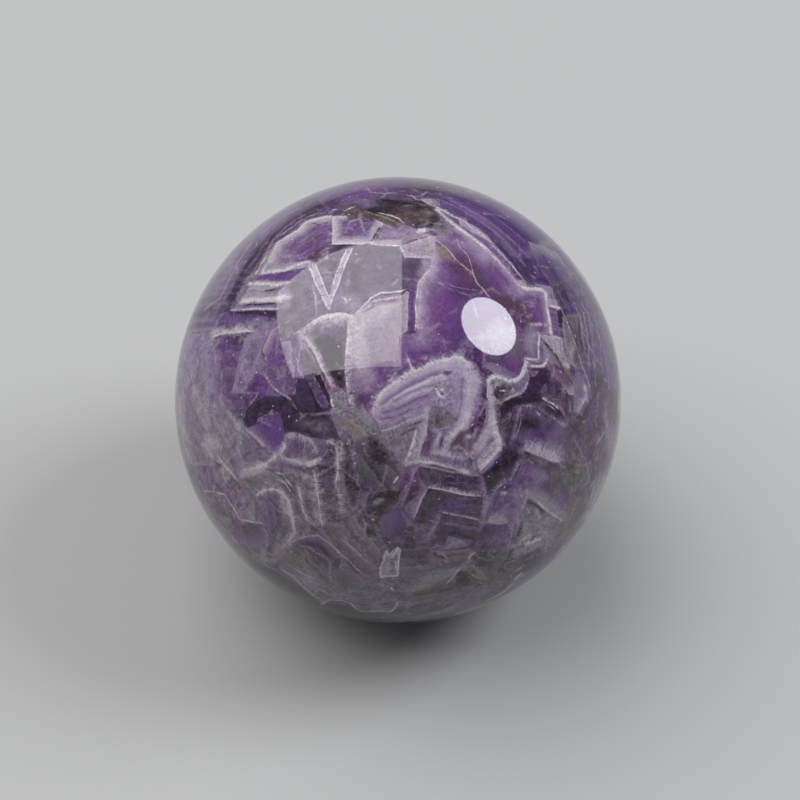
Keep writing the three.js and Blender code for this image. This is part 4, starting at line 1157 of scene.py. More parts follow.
    vein("NIGHT_VIOLET", 0.35, [(-1.2, -23.2), (-0.7, -22.7)], 0.9),
    vein("MILK", 0.3, [(11.4, -22.1), (10.8, -22.5), (10.5, -23.1)], 0.9),
    vein("SMOKE", 0.5, [(5, -22.2), (6, -22.9), (7, -23.2)], 0.8),
    vein("GREY_MILK", 0.28, [(6.3, -23.2), (7.4, -23.8)], 0.9),
    vein("MILK", 0.45, [(8.9, -24.5), (8.4, -25.3), (7.9, -26)], 0.8),
    # Painted highlight: the glint in the dark pocket.
    vein("WHITE_LINE", 0.25, [(9, -25.95), (9.3, -25.95)]),
    vein("GREY_MILK", 1.6, [(2, -27.6), (4.5, -26.8), (7, -25.4), (7.4, -24.6)], 0.7),
    vein("GREY_MILK", 0.7, [(9, -24.4), (11, -24.3), (12.2, -25.4), (12.9, -26.8), (12.6, -28.3)], 0.6),
    vein("SMOKE", 0.7, [(6.8, -27.7), (8, -27.2), (9.6, -27.4)], 0.6),
    vein("VOID", 0.25, [(11.6, -28.7), (11.9, -28.9)], 0.9),
    # Painted shade: a dark band along the bottom limb, near where the ball meets the floor.
    vein("SMOKE", 1.2, [(-12, -30.4), (-8, -30.6), (-4, -32), (0, -32.2), (6, -31.4), (12, -29.8)], 0.7),
    vein("GREY_MILK", 0.3, [(-6.6, -31.6), (-4, -32.2), (0, -32.6)], 0.5),
)


def cloud(tint: str, place: Point, size: Point, turn: float = 0.0, amount: float = 0.8) -> Cloud:
    """Note one soft patch of colour: tint, middle, half widths in mm, turn in degrees and strength."""
    return Cloud(Tint[tint], place, size, turn, amount)


# Soft patches in the body of the stone, under its bands, in millimetres on the plate.
FACE_CLOUDS = (
    cloud("VIOLET", (-11, 24.3), (2.2, 1.6)),
    cloud("PALE_VIOLET", (-17, 21), (2.2, 1.8), 30),
    cloud("RED_BROWN", (-11.6, 21), (1.6, 1.2)),
    cloud("PALE_VIOLET", (-5, 28.9), (2.2, 0.9)),
    cloud("UMBER", (4, 27), (1.8, 1.2)),
    cloud("DARK_BROWN", (0.5, 27.6), (3, 1.2)),
    cloud("GREY", (-3.5, 17.5), (2.5, 3)),
    cloud("LILAC", (-8.5, 15), (1.6, 1.8)),
    cloud("SMOKE", (2.6, 18.8), (2.0, 1.8), 0, 0.7),
    cloud("GREY_MILK", (-6.8, 14.4), (2.0, 1.2), -20),
    cloud("MAGENTA", (5.8, 14), (1.5, 3)),
    cloud("PALE_VIOLET", (6.2, 18), (2, 3), -15),
    cloud("OCHRE", (6.3, 21.8), (1.8, 1.4)),
    cloud("VIOLET", (7.5, 11.5), (2.5, 3)),
    cloud("DEEP_VIOLET", (8, 16.8), (1.5, 1.5), 0, 0.6),
    cloud("BLUE_VIOLET", (9.2, 13.4), (2.6, 2.4)),
    cloud("LILAC", (9.7, 22.8), (1.6, 1.1), 0, 0.7),
    cloud("DARK_BROWN", (10.5, 18.4), (1.4, 1.4)),
    cloud("RED_BROWN", (9.8, 20.4), (1.6, 1.4)),
    cloud("DEEP_VIOLET", (12.6, 17.8), (1.8, 1.6)),
    cloud("PALE_VIOLET", (12, 20.8), (1.8, 1.2), -40),
    cloud("VIOLET", (14.5, 18), (1.8, 1.6)),
    cloud("LILAC", (17, 15.9), (1.8, 1.0), -20, 0.6),
    cloud("RED_BROWN", (17.6, 13), (1.8, 2.2)),
    cloud("DEEP_VIOLET", (19, 12), (1.4, 2.0)),
    cloud("VIOLET", (20.4, 13.8), (1.4, 2.0)),
    cloud("ROYAL_VIOLET", (8.8, 12.2), (1.8, 4.2), 0, 0.9),
    cloud("NIGHT_VIOLET", (9.2, 15.6), (2.6, 1.4), 20, 0.8),
    cloud("ROYAL_VIOLET", (8.2, 9), (1.8, 1.8), 0, 0.8),
    cloud("NIGHT_VIOLET", (10.6, 6.8), (2.6, 1.5), -20, 0.95),
    cloud("NIGHT_VIOLET", (12.4, 5.2), (1.2, 1.2), 0, 0.9),
    cloud("DEEP_VIOLET", (14.6, 6), (1.8, 1.2), 0, 0.7),
    cloud("GREY", (17.3, 8), (1.6, 2.4)),
    cloud("VIOLET", (4, 6.6), (3.4, 1.2), -10),
    cloud("LILAC", (3, 8.4), (1.8, 1.4)),
    cloud("MILK", (-5, 3), (2.0, 2.4), 0, 0.5),
    cloud("RED_BROWN", (-5.3, 0.2), (1.8, 1.6), 0, 0.6),
    cloud("LILAC", (-3.5, 9.5), (1.8, 3.2), 0, 0.6),
    cloud("INK_VIOLET", (15.5, 22.6), (1.2, 2.0), 50),
    cloud("INK_VIOLET", (18.5, 19.2), (1.4, 2.2), 40),
    cloud("GREY_MILK", (20.8, 22.2), (2.2, 1.1), 20, 0.4),
    cloud("DEEP_VIOLET", (23.6, 15.4), (1.4, 2.4)),
    cloud("GREY", (25.2, 8.6), (1.2, 3.6), -8),
    cloud("DEEP_VIOLET", (26.6, 9), (0.9, 3.6), -8),
    cloud("INK_VIOLET", (0, 32), (9, 1.6), 0, 0.5),
    cloud("MILK", (3.4, 13.4), (0.9, 4.6), 2),
    cloud("MILK", (4.5, 19.3), (1.3, 3.4), -14),
    cloud("LILAC", (4.6, 14.5), (1.6, 6), 3, 0.5),
    cloud("MILK", (-9.2, 11.7), (2.6, 0.8), 8, 0.7),
    cloud("LILAC", (-16.6, 15.2), (1.0, 1.8), 0, 0.8),
    cloud("VOID", (20.4, 2.7), (1.5, 1.5), 0, 0.9),
    cloud("VOID", (18.2, 0.1), (2.6, 0.8), 12, 0.9),
    # Painted highlight: a whitish patch on the lower right of the round lamp's reflection.
    cloud("FIBRE_WHITE", (14.8, 9.6), (2.0, 2.2), 0, 0.4),
    cloud("NIGHT_VIOLET", (9.6, 10.6), (1.6, 3), -20, 0.6),
    cloud("PURPLE", (6.0, 13.0), (1.4, 3.8), 0, 0.8),
    cloud("PURPLE", (8.2, 12.0), (2.4, 2.6), 0, 0.5),
    cloud("PURPLE", (3.4, 6.4), (3.6, 1.4), -8, 0.5),
    cloud("PURPLE", (7.2, 18.4), (1.6, 2.0), -10, 0.5),
    cloud("WINE", (11.0, 17.0), (2.2, 1.6), -30, 0.8),
    cloud("WINE", (14.2, 15.8), (2.6, 1.2), -40, 0.6),
    cloud("WINE", (18.4, 12.2), (1.8, 2.0), 0, 0.7),
    cloud("PURPLE", (20.0, 13.6), (1.4, 1.6), 0, 0.6),
    cloud("PURPLE", (-14.4, 23.0), (2.6, 1.8), 30, 0.6),
    cloud("MILK", (12.0, 21.8), (2.4, 1.0), -42, 0.5),
    cloud("NIGHT_VIOLET", (-21.4, 19.8), (1.6, 7), -32, 0.35),
    cloud("WHITE_LINE", (-5.7, 8.4), (1.5, 4.8), 4, 0.6),
    cloud("WHITE_LINE", (-3.2, 12.6), (3.2, 1.3), 20, 0.5),
    cloud("PALE_VIOLET", (0.1, 7.6), (1.5, 3), 0, 0.4),
    cloud("OCHRE", (4.4, 22.2), (1.4, 0.9), 20, 0.4),
    cloud("FIBRE_WHITE", (5.2, 23.8), (2.6, 0.7), 0, 0.5),
    cloud("GREY_MILK", (20.0, -8.3), (2.6, 1.1), -28, 0.6),
    cloud("WHITE_LINE", (21.6, -14.9), (2.6, 0.9), -35, 0.35),
    cloud("GREY_MILK", (19.6, -21.2), (2.8, 1.1), 28, 0.7),
    cloud("WHITE_LINE", (20.2, -20.6), (1.8, 0.5), 34, 0.4),
    cloud("WHITE_LINE", (18.2, -22.2), (1.2, 0.45), 24, 0.35),
    cloud("GREY_MILK", (18.2, -18.6), (1.4, 2.6), 10, 0.4),
    cloud("VIOLET", (16.6, -13.2), (1.6, 1.6), 0, 0.6),
    cloud("VIOLET", (14.4, -19.4), (1.4, 1.2), 0, 0.6),
    cloud("VIOLET", (1.4, -16.8), (1.8, 2.2), 0, 0.4),
    cloud("BLUE_VIOLET", (9.2, -15.6), (2.4, 1.4), 0, 0.6),
    cloud("ROYAL_VIOLET", (9.4, 8.2), (1.4, 2.2), -20, 0.6),
    cloud("ROYAL_VIOLET", (-16.5, 26.6), (5, 1.6), 38, 0.6),
    cloud("PALE_VIOLET", (-25.2, 18.6), (1.6, 6), -35, 0.8),
    cloud("PALE_VIOLET", (-19, 25.6), (5, 1.2), 40, 0.7),
    cloud("VIOLET", (-6, 30.4), (7, 1.2), 5, 0.8),
    cloud("VOID", (19.2, -3.6), (2.0, 1.3), -15, 0.95),
    cloud("SMOKE", (15.9, -3.6), (1.2, 2.4), 0, 0.9),
    cloud("BLUE_VIOLET", (20.8, -5.6), (3.0, 1.4), -15, 0.9),
    cloud("LILAC", (22.8, -7.4), (2.2, 1.2), -30, 0.7),
    cloud("SMOKE", (19.2, -9), (1.8, 1.0), -30, 0.9),
    cloud("VIOLET", (19.6, -10.6), (2.2, 1.4), -20, 0.8),
    cloud("LILAC", (20.6, -11.2), (1.6, 1.2), -30, 0.7),
    cloud("UMBER", (23, -12), (1.3, 2.2), -10, 0.8),
    cloud("PALE_VIOLET", (23.4, -14.6), (1.4, 1.4), 0, 0.6),
    cloud("GREY_MILK", (20.2, -19.8), (2.2, 0.9), 0, 0.8),
    cloud("UMBER", (13.6, -24.6), (3, 2.4), 0, 0.9),
    cloud("SMOKE", (12.4, -23), (2, 0.9), 10, 0.8),
    cloud("GREY_MILK", (14.2, -21.6), (1.2, 0.7), 30, 0.4),
    cloud("SMOKE", (19, -23.4), (2.2, 1.2), 35, 0.8),
    cloud("SMOKE", (17, -25), (2.4, 0.8), 40, 0.7),
    cloud("UMBER", (26, -9.6), (1.3, 4.6), 5, 0.8),
    cloud("BLUE_VIOLET", (28.4, -1.6), (1.0, 3.0), -12, 0.9),
    cloud("BLUE_VIOLET", (26.6, -4.8), (1.0, 1.6), -30, 0.8),
    cloud("LILAC", (31, -5), (0.8, 5.0), 8, 0.6),
    cloud("SMOKE", (29.3, 2.2), (0.9, 1.8), -10, 0.9),
    cloud("LILAC", (29.4, -12.6), (0.7, 3.0), -25, 0.7),
    cloud("LILAC", (3, -2.6), (3, 1.6), 25, 0.6),
    cloud("GREY", (0, -7), (2, 2.4), -30, 0.7),
    cloud("LILAC", (13.2, -6.6), (1.5, 2.4), -15, 0.6),
    cloud("ROYAL_VIOLET", (8.3, -15.3), (1.8, 1.2), -10, 0.8),
    cloud("SMOKE", (4.7, -14.3), (0.9, 2.0), -20, 0.9),
    cloud("SMOKE", (3.7, -16.6), (0.8, 1.4), -20, 0.8),
    cloud("GREY_CLEAR", (4.6, -10.9), (2.0, 1.0), -8, 0.7),
    cloud("ROYAL_VIOLET", (10.4, -12.2), (2.0, 0.9), -8, 0.6),
    cloud("LILAC", (17.6, -13.4), (1.4, 1.2), 20, 0.6),
    cloud("PALE_VIOLET", (17, -15.4), (0.9, 2.2), -20, 0.7),
    cloud("PALE_VIOLET", (14.2, -20.4), (2.0, 1.0), 0, 0.5),
    cloud("MAGENTA", (1, -11.8), (1.2, 1.2), 0, 0.9),
    cloud("VIOLET", (0.4, -17.6), (2.0, 1.8), 0, 0.7),
    cloud("GREY", (3.6, -19.8), (1.6, 1.6), 0, 0.7),
    cloud("GREY_MILK", (3.4, -26.6), (3.4, 1.2), 20, 0.5),
    cloud("UMBER", (3, -24.6), (3, 1.4), 10, 0.6),
    cloud("SMOKE", (-12.5, -22), (2.6, 1.4), -15),
    cloud("GREY_MILK", (-13.5, -26), (2.6, 1.6), -35, 0.7),
    cloud("SMOKE", (-7.6, -25), (2.2, 2.2), -40),
    cloud("GREY", (-26.5, -15), (3, 5), 20, 0.6),
    cloud("GREY_MILK", (-29, 3), (2, 4), 10, 0.6),
    cloud("MAGENTA", (-26.6, 3.4), (1.2, 3), 8, 0.4),
    cloud("GREY_MILK", (-26.2, -5), (2, 2.2), 0, 0.6),
    cloud("UMBER", (-22.3, -12.2), (1.6, 1.2)),
    cloud("SMOKE", (-14.2, -2.0), (2.0, 1.4), -10, 0.8),
    cloud("GREY_MILK", (-11.6, -3.9), (2.6, 0.9), -12, 0.45),
    cloud("UMBER", (-9.8, -3.6), (1.2, 0.9), -20, 0.6),
    cloud("SMOKE", (-18.6, -0.9), (2.2, 0.8), -10, 0.5),
    cloud("GREY_MILK", (19.5, 8.6), (1.1, 2.6), 0, 0.8),
    cloud("VIOLET", (-17.5, 6.6), (1.2, 1.4), 20, 0.7),
    cloud("GREY_MILK", (-21, 11), (3, 1.0), 5, 0.6),
    cloud("UMBER", (-3.6, -4.6), (1.4, 1.0), -20, 0.6),
    cloud("SMOKE", (-2.5, -10.6), (3, 1.2), -10, 0.7),
    cloud("MAGENTA", (9.3, -5.4), (1.5, 1.8), 0, 0.5),
    cloud("WHITE_LINE", (-24.4, 10.1), (3.2, 0.55), 4, 0.8),
    cloud("WHITE_LINE", (-9.6, 11.9), (2.8, 0.7), 10, 0.7),
    cloud("WHITE_LINE", (-13.4, 9.6), (1.6, 1.1), 30, 0.4),
    cloud("RED_BROWN", (8.8, 19.2), (2.6, 1.2), -45, 0.6),
    cloud("RED_BROWN", (12.2, 16.4), (2.8, 1.1), -35, 0.6),
    cloud("RED_BROWN", (16.2, 14.4), (2.2, 1.2), -20, 0.6),
    cloud("OCHRE", (7.4, 21.0), (1.6, 0.7), -40, 0.4),
    cloud("PALE_VIOLET", (11.6, 26.8), (5.0, 0.6), -35, 0.5),
    cloud("PALE_VIOLET", (16.0, 22.6), (3.0, 0.6), -46, 0.5),
    cloud("OCHRE", (25.0, 7.4), (0.8, 2.8), -8, 0.5),
    cloud("WHITE_LINE", (25.2, 6.6), (0.6, 2.2), -12, 0.35),
    cloud("VOID", (3.2, 28.4), (2.4, 0.5), -12, 0.8),
    cloud("VOID", (5.6, 26.7), (0.6, 1.2), 20, 0.7),
    cloud("DARK_BROWN", (2.8, 26.5), (2.0, 0.9), 0, 0.6),
    cloud("GREY", (-8.6, -2.8), (1.0, 0.9), -30, 0.6),
    cloud("FIBRE_WHITE", (-8.5, 0.1), (0.8, 1.5), 0, 0.7),
    cloud("OCHRE", (-7.2, -3.2), (1.2, 0.9), -35, 0.9),
    cloud("OCHRE", (-5.6, -4.8), (0.8, 1.2), -10, 0.6),
    cloud("FIBRE_WHITE", (-4.4, -2.6), (1.2, 0.9), -20, 0.5),
    cloud("SMOKE", (-4.4, -5.7), (1.6, 0.6), 0, 0.8),
    cloud("WHITE_LINE", (-21.0, -10.3), (2.6, 0.7), 20, 0.4),
    cloud("WHITE_LINE", (-17.6, -8.2), (1.6, 0.8), 35, 0.5),
    cloud("WHITE_LINE", (-14.4, -9.0), (2.2, 0.7), -5, 0.55),
    cloud("WHITE_LINE", (-27.4, -6.4), (1.3, 1.2), -30, 0.8),
    cloud("WHITE_LINE", (-25.2, -10.6), (1.2, 0.8), -50, 0.8),
    cloud("WHITE_LINE", (-28.6, -1.8), (0.8, 3.2), 22, 0.3),
    cloud("WHITE_LINE", (-23.8, -3.6), (0.8, 2.0), 25, 0.3),
    cloud("WHITE_LINE", (-16.6, -15.6), (0.7, 2.8), 12, 0.35),
    cloud("WHITE_LINE", (-17.0, -21.6), (1.6, 0.6), 30, 0.4),
    cloud("WHITE_LINE", (-19.8, -23.2), (0.6, 1.4), 0, 0.4),
    cloud("BLUE_VIOLET", (-21.6, -8.4), (1.2, 1.2), 0, 0.5),
    cloud("VOID", (9.3, -26.0), (0.9, 0.9), 0, 1.0),
    cloud("NIGHT_VIOLET", (-12.0, -20.8), (1.8, 0.6), -12, 0.8),
    cloud("VOID", (-9.8, -22.3), (1.6, 0.6), -45, 0.7),
    cloud("DARK_BROWN", (-13.6, -22.9), (2.0, 1.0), -30, 0.6),
    cloud("VIOLET", (-10.9, -23.2), (1.1, 0.6), -45, 0.6),
    cloud("GREY_MILK", (-1.4, -26.6), (1.4, 0.9), 0, 0.6),
    cloud("OCHRE", (-13.0, -25.6), (2.4, 0.5), -35, 0.4),
    cloud("FIBRE_WHITE", (-18.4, -23.2), (1.2, 0.9), -20, 0.4),
    cloud("DEEP_VIOLET", (1.6, -20.6), (2.2, 2.4), 0, 0.5),
    cloud("GREY_MILK", (4.2, -26.5), (3.2, 0.9), 28, 0.7),
    cloud("GREY_MILK", (11.8, -25.2), (1.4, 0.6), -30, 0.5),
    cloud("WHITE_LINE", (17.6, -26.0), (1.2, 0.4), 42, 0.5),
    cloud("WHITE_LINE", (19.2, -20.4), (2.2, 0.7), 35, 0.45),
    cloud("SMOKE", (16.8, -23.6), (2.2, 0.7), 42, 0.6),
    cloud("NIGHT_VIOLET", (-6.4, -30.0), (2.4, 0.7), 0, 0.4),
    cloud("LILAC", (-16.4, 20.6), (1.8, 1.0), 20, 0.5),
    cloud("VOID", (12.6, -24.2), (1.4, 0.5), -20, 0.6),
    cloud("WHITE_LINE", (6.6, -25.8), (2.0, 0.6), 22, 0.3),
    # Painted shade: the darkness of the contact shadow along the bottom limb.
    cloud("SMOKE", (0.0, -31.8), (10.0, 0.8), 0, 0.9),
    cloud("VOID", (-26.2, -9.0), (0.7, 1.0), 15, 1.0),
    cloud("VOID", (5.2, 26.2), (0.9, 1.0), 20, 0.9),
    cloud("DARK_BROWN", (3.0, 27.2), (2.4, 0.8), -8, 0.6),
    cloud("WINE", (9.6, 18.8), (2.2, 1.4), -45, 0.9),
    cloud("DARK_BROWN", (15.8, 14.3), (2.0, 1.0), -15, 0.6),
    cloud("DARK_BROWN", (11.6, 17.4), (1.8, 0.9), -40, 0.5),
    cloud("WHITE_LINE", (20.4, -20.2), (2.2, 0.5), 38, 0.5),
    cloud("GREY_MILK", (-0.6, -24.4), (1.8, 2.0), 0, 0.4),
    cloud("SMOKE", (26.8, -3.6), (1.2, 3.0), -20, 0.5),
    cloud("WHITE_LINE", (4.4, 3.6), (3.2, 0.35), 28, 0.4),
    cloud("VIOLET", (9.4, 1.2), (0.7, 2.6), 0, 0.35),
    cloud("GREY", (6.6, -2.4), (1.6, 1.0), -10, 0.5),
    cloud("WHITE_LINE", (-14.6, -10.8), (2.4, 0.5), -20, 0.35),
    cloud("WHITE_LINE", (-12.2, -15.6), (0.5, 2.8), 8, 0.35),
    cloud("WHITE_LINE", (-8.7, -10.4), (0.5, 3.0), 0, 0.3),
)


@dataclass
class Mosaic:
    """The ball's surface divided into triangles along the outlines laid on it."""

    blank: Blank
    view: FaceView
    spacing: float = 0.95  # between the mesh's points, in mm
    step: float = 0.7  # between points along an outline, in mm
    points: list[np.ndarray] = field(default_factory=list)
    edges: list[tuple[int, int]] = field(default_factory=list)
    count: int = 0

    def add_line(self, directions: np.ndarray, closed: bool) -> np.ndarray:
        """Lay a line on the ball that the mesh's edges will follow.

        Args:
            directions: The line's corners as unit directions.
            closed: Whether it runs back to its start.

        Returns:
            The points that the line was divided into, as unit directions.
        """
        ends = np.roll(directions, -1, 0) if closed else directions[1:]
        starts = directions if closed else directions[:-1]
        laid: list[np.ndarray] = []
        for start, end in zip(starts, ends):
            length = self.blank.radius * float(np.linalg.norm(end - start))
            steps = max(1, round(length / self.step))
            for at in range(steps):
                laid.append(start + (end - start) * at / steps)
        if not closed:
            laid.append(directions[-1])
        line = np.array(laid)
        line = wandering(line / np.linalg.norm(line, axis=1)[:, None], self.blank.radius)
        self.join(line, closed)
        return line

    def join(self, line: np.ndarray, closed: bool) -> None:
        """Take a run of points into the mesh, with edges from each to the next."""
        first = self.count
        self.points.append(line)
        self.count += len(line)
        self.edges += [(first + at, first + at + 1) for at in range(len(line) - 1)]
        if closed:
            self.edges.append((self.count - 1, first))

    def add_points(self, directions: np.ndarray) -> None:
        """Take loose points into the mesh."""
        self.points.append(directions)
        self.count += len(directions)

    def fill(self) -> None:
        """Spread points evenly over the rest of the ball, on a spiral from pole to pole."""
        taken = np.concatenate(self.points)
        tree = KDTree(len(taken))
        for index, direction in enumerate(taken):
            tree.insert(direction, index)
        tree.balance()
        cell = self.spacing * self.spacing * math.sqrt(3) / 2
        total = round(4 * math.pi * self.blank.radius**2 / cell)
        at = np.arange(total)
        height = 1 - (2 * at + 1) / total
        around = at * math.pi * (3 - math.sqrt(5))
        across = np.sqrt(1 - height * height)
        spiral = np.stack([across * np.cos(around), across * np.sin(around), height], 1)
        clear = 0.55 * self.spacing / self.blank.radius
        kept = [d for d in spiral if tree.find(d)[2] > clear]
        self.add_points(np.array(kept))

    def triangulate(self) -> tuple[np.ndarray, np.ndarray]:
        """Join all points into triangles that keep to the lines laid on the ball.

        Circles stay circles when the ball is projected from its far side onto a plane, so a
        Delaunay mesh of the plane is one of the ball too. A fan closes it round the far point.

        Returns:
            Unit directions of the mesh's points, and the triangles as rows of three numbers.
        """
        axes = self.view.axes()
        local = np.concatenate(self.points) @ axes.T
        across = 2 * self.blank.radius / (1 + np.maximum(local[:, 2], -0.9997))
        flat = [Vector((x, y)) for x, y in local[:, :2] * across[:, None]]
        made = delaunay_2d_cdt(flat, self.edges, [], 0, 1e-5)
        plane = np.array([(v.x, v.y) for v in made[0]]) / (2 * self.blank.radius)
        far = np.sum(plane * plane, 1)
        toward = (1 - far) / (1 + far)
        local = np.column_stack([plane * (1 + toward)[:, None], toward])
        triangles = np.array(made[2])
        used = set(map(tuple, triangles[:, [0, 1]].tolist()))
        used |= set(map(tuple, triangles[:, [1, 2]].tolist()))
        used |= set(map(tuple, triangles[:, [2, 0]].tolist()))
        open_edges = [(b, a) for a, b in used if (b, a) not in used]
        fan = [(a, b, len(local)) for a, b in open_edges]
        local = np.vstack([local, [0.0, 0.0, -1.0]])
        return local @ axes, np.vstack([triangles, np.array(fan)])


@dataclass
class Painter:
    """Lays crystals over one another and hands each corner of the mesh what its material needs."""

    blank: Blank
    view: FaceView
    crystals: list[Crystal]
    outlines: list[np.ndarray] = field(default_factory=list)

    def owners(self, directions: np.ndarray, triangles: np.ndarray) -> np.ndarray:
        """Find the crystal that each triangle belongs to: the last one laid over it.

        Args:
            directions: Unit directions of the mesh's points.
            triangles: Rows of three point numbers.

        Returns:
            One crystal number a triangle.
        """
        middles = directions[triangles].mean(1)
        owner = np.zeros(len(triangles), int)
        for number, outline in enumerate(self.outlines):
            axis = outline.mean(0)
            axis = axis / np.linalg.norm(axis)
            side = np.cross(axis, [0.3, 0.5, 0.81])
            side = side / np.linalg.norm(side)
            other = np.cross(axis, side)
            rim = outline @ axis
            near = np.flatnonzero(middles @ axis > max(0.05, rim.min() - 0.05))
            chosen = middles[near]
            depth = chosen @ axis
            x = chosen @ side / depth
            y = chosen @ other / depth
            ax, ay = outline @ side / rim, outline @ other / rim
            inside = np.zeros(len(near), bool)
            for at in range(len(ax)):
                x0, y0 = ax[at - 1], ay[at - 1]
                x1, y1 = ax[at], ay[at]
                spans = (y0 > y) != (y1 > y)
                cross = x0 + (y - y0) * (x1 - x0) / (y1 - y0 if y1 != y0 else 1e-12)
                inside ^= spans & (x < cross)
            owner[near[inside]] = number
        return owner

    def depths(self, corners: np.ndarray, owner: np.ndarray) -> dict[str, np.ndarray]:
        """Measure how deep each corner of the mesh lies under its crystal's growth faces.

        Args:
            corners: Unit directions, three a triangle.
            owner: One crystal number a triangle.

        Returns:
            The attributes' values by name, one row a corner.
        """
        faces = 6
        planes = np.zeros((len(self.crystals), faces, 3))
        lift = np.full((len(self.crystals), faces), 90.0)
        runs = np.zeros((len(self.crystals), 3))
        habit = np.zeros((len(self.crystals), 4))
        seams = np.zeros((len(self.crystals), 12, 3))
        seam_lift = np.full((len(self.crystals), 12), 9.0)
        tints = np.zeros((len(self.crystals), 3, 4))
        bent: list[int] = []
        for number, crystal in enumerate(self.crystals):
            normals = face_normals(crystal.corners)
            clearance = crystal.corners @ normals[list(crystal.growth)].T * self.blank.radius
            if crystal.growth and clearance.min() < -0.25:
                bent.append(number)
                lift[number, 0] = 0.0
            else:
                for slot, edge in enumerate(crystal.growth[:faces]):
                    planes[number, slot] = normals[edge] / crystal.stretch
                    lift[number, slot] = crystal.start
            for slot in range(min(12, len(normals))):
                seams[number, slot] = normals[slot]
                seam_lift[number, slot] = 0.0
            first = crystal.growth[0] if crystal.growth else 0
            along = np.roll(crystal.corners, -1, 0)[first] - crystal.corners[first]
            runs[number] = along / np.linalg.norm(along)
            habit[number] = (crystal.bands.value, crystal.fibre, 0, crystal.busy)
            for slot, tint in enumerate((crystal.rim, crystal.flesh, crystal.core)):
                tints[number, slot, :3] = np.array(linear(tint.value)) * crystal.shade
                tints[number, slot, 3] = 1
        radius = self.blank.radius
        depth = np.einsum("tcx,tfx->tcf", corners, planes[owner]) * radius + lift[owner][:, None]
        for number in bent:
            mine = np.flatnonzero(owner == number)
            depth[mine, :, 0] = self.crystals[number].depth(corners[mine], radius)
        seam = np.einsum("tcx,tfx->tcf", corners, seams[owner]) * radius + seam_lift[owner][:, None]
        along = np.einsum("tcx,tx->tc", corners, runs[owner]) * radius
        nature = np.repeat(habit[owner][:, None], 3, 1)
        nature[:, :, 2] = np.abs(seam).min(2)
        rows = len(owner) * 3
        colours = np.repeat(tints[owner][:, None], 3, 1)
        return {
            "near_faces": depth[:, :, :3].reshape(rows, 3),
            "far_faces": depth[:, :, 3:].reshape(rows, 3),
            "habit": nature.reshape(rows, 4),
            "along": along.reshape(rows),
            "rim_tint": colours[:, :, 0].reshape(rows, 4),
            "flesh_tint": colours[:, :, 1].reshape(rows, 4),
            "core_tint": colours[:, :, 2].reshape(rows, 4),
        }

    def ground(self, triangles: np.ndarray, owner: np.ndarray, count: int, rounds: int = 5) -> np.ndarray:
        """Let the crystals' colours run together, for the stone where two of them meet.

        Args:
            triangles: Rows of three point numbers.
            owner: One crystal number a triangle.
            count: How many points there are.
            rounds: How often each point takes on the mean of its neighbours.

        Returns:
            Red, green, blue and 1 a point.
        """
        bodies = np.array([linear(crystal.flesh.value) for crystal in self.crystals])
        shades = np.array([crystal.shade for crystal in self.crystals])
        own = (bodies * shades[:, None])[owner]
        corner_rows = triangles.reshape(-1)
        shares = np.bincount(corner_rows, minlength=count).clip(1)
        colour = np.empty((count, 3))
        for channel in range(3):
            colour[:, channel] = np.bincount(corner_rows, np.repeat(own[:, channel], 3), count) / shares
        for _ in range(rounds):
            middles = colour[triangles].mean(1)
            for channel in range(3):
                summed = np.bincount(corner_rows, np.repeat(middles[:, channel], 3), count)
                colour[:, channel] = summed / shares
        return np.column_stack([colour, np.ones(count)])

    def ink(
        self, directions: np.ndarray, veins: Sequence[Vein], middles: list[np.ndarray]
    ) -> tuple[np.ndarray, np.ndarray]:
        """Work out how the veins colour each point of the mesh.

        Args:
            directions: Unit directions of the mesh's points.
            veins: The veins, in the order in which they're laid.
            middles: Each vein's middle line, as unit directions.

        Returns:
            Red, green, blue and cover a point, with the colour already scaled by the cover, and
            how far along its vein each point lies in mm.
        """
        laid = np.zeros((len(directions), 4))
        strand = np.zeros(len(directions))
        for vein_here, line in zip(veins, middles):
            reach = (vein_here.width / self.blank.radius, vein_here.back / self.blank.radius)
            axis = line.mean(0)
            span = np.linalg.norm(line - axis, axis=1).max() + max(reach)
            near = np.flatnonzero(np.linalg.norm(directions - axis, axis=1) < span)
            closeness, along = line_closeness(directions[near], line, reach, 0.5 / self.blank.radius)
            self.cover(laid, near, vein_here.tint, vein_here.amount * closeness)
            met = closeness > 0
            strand[near[met]] = along[met] * self.blank.radius
        return laid, strand

    def wash(self, directions: np.ndarray, clouds: Sequence[Cloud]) -> np.ndarray:
        """Work out how the soft patches colour each point of the mesh, in the same way."""
        laid = np.zeros((len(directions), 4))
        everywhere = np.arange(len(directions))
        for patch in clouds:
            self.cover(laid, everywhere, patch.tint, patch.strength(self.view, directions))
        return laid

    def cover(self, laid: np.ndarray, rows: np.ndarray, tint: Tint, share: np.ndarray) -> None:
        """Lay a tint over what is laid already, each row by its own share."""
        colour = np.array([*linear(tint.value), 1.0])
        laid[rows] = laid[rows] * (1 - share)[:, None] + colour * share[:, None]


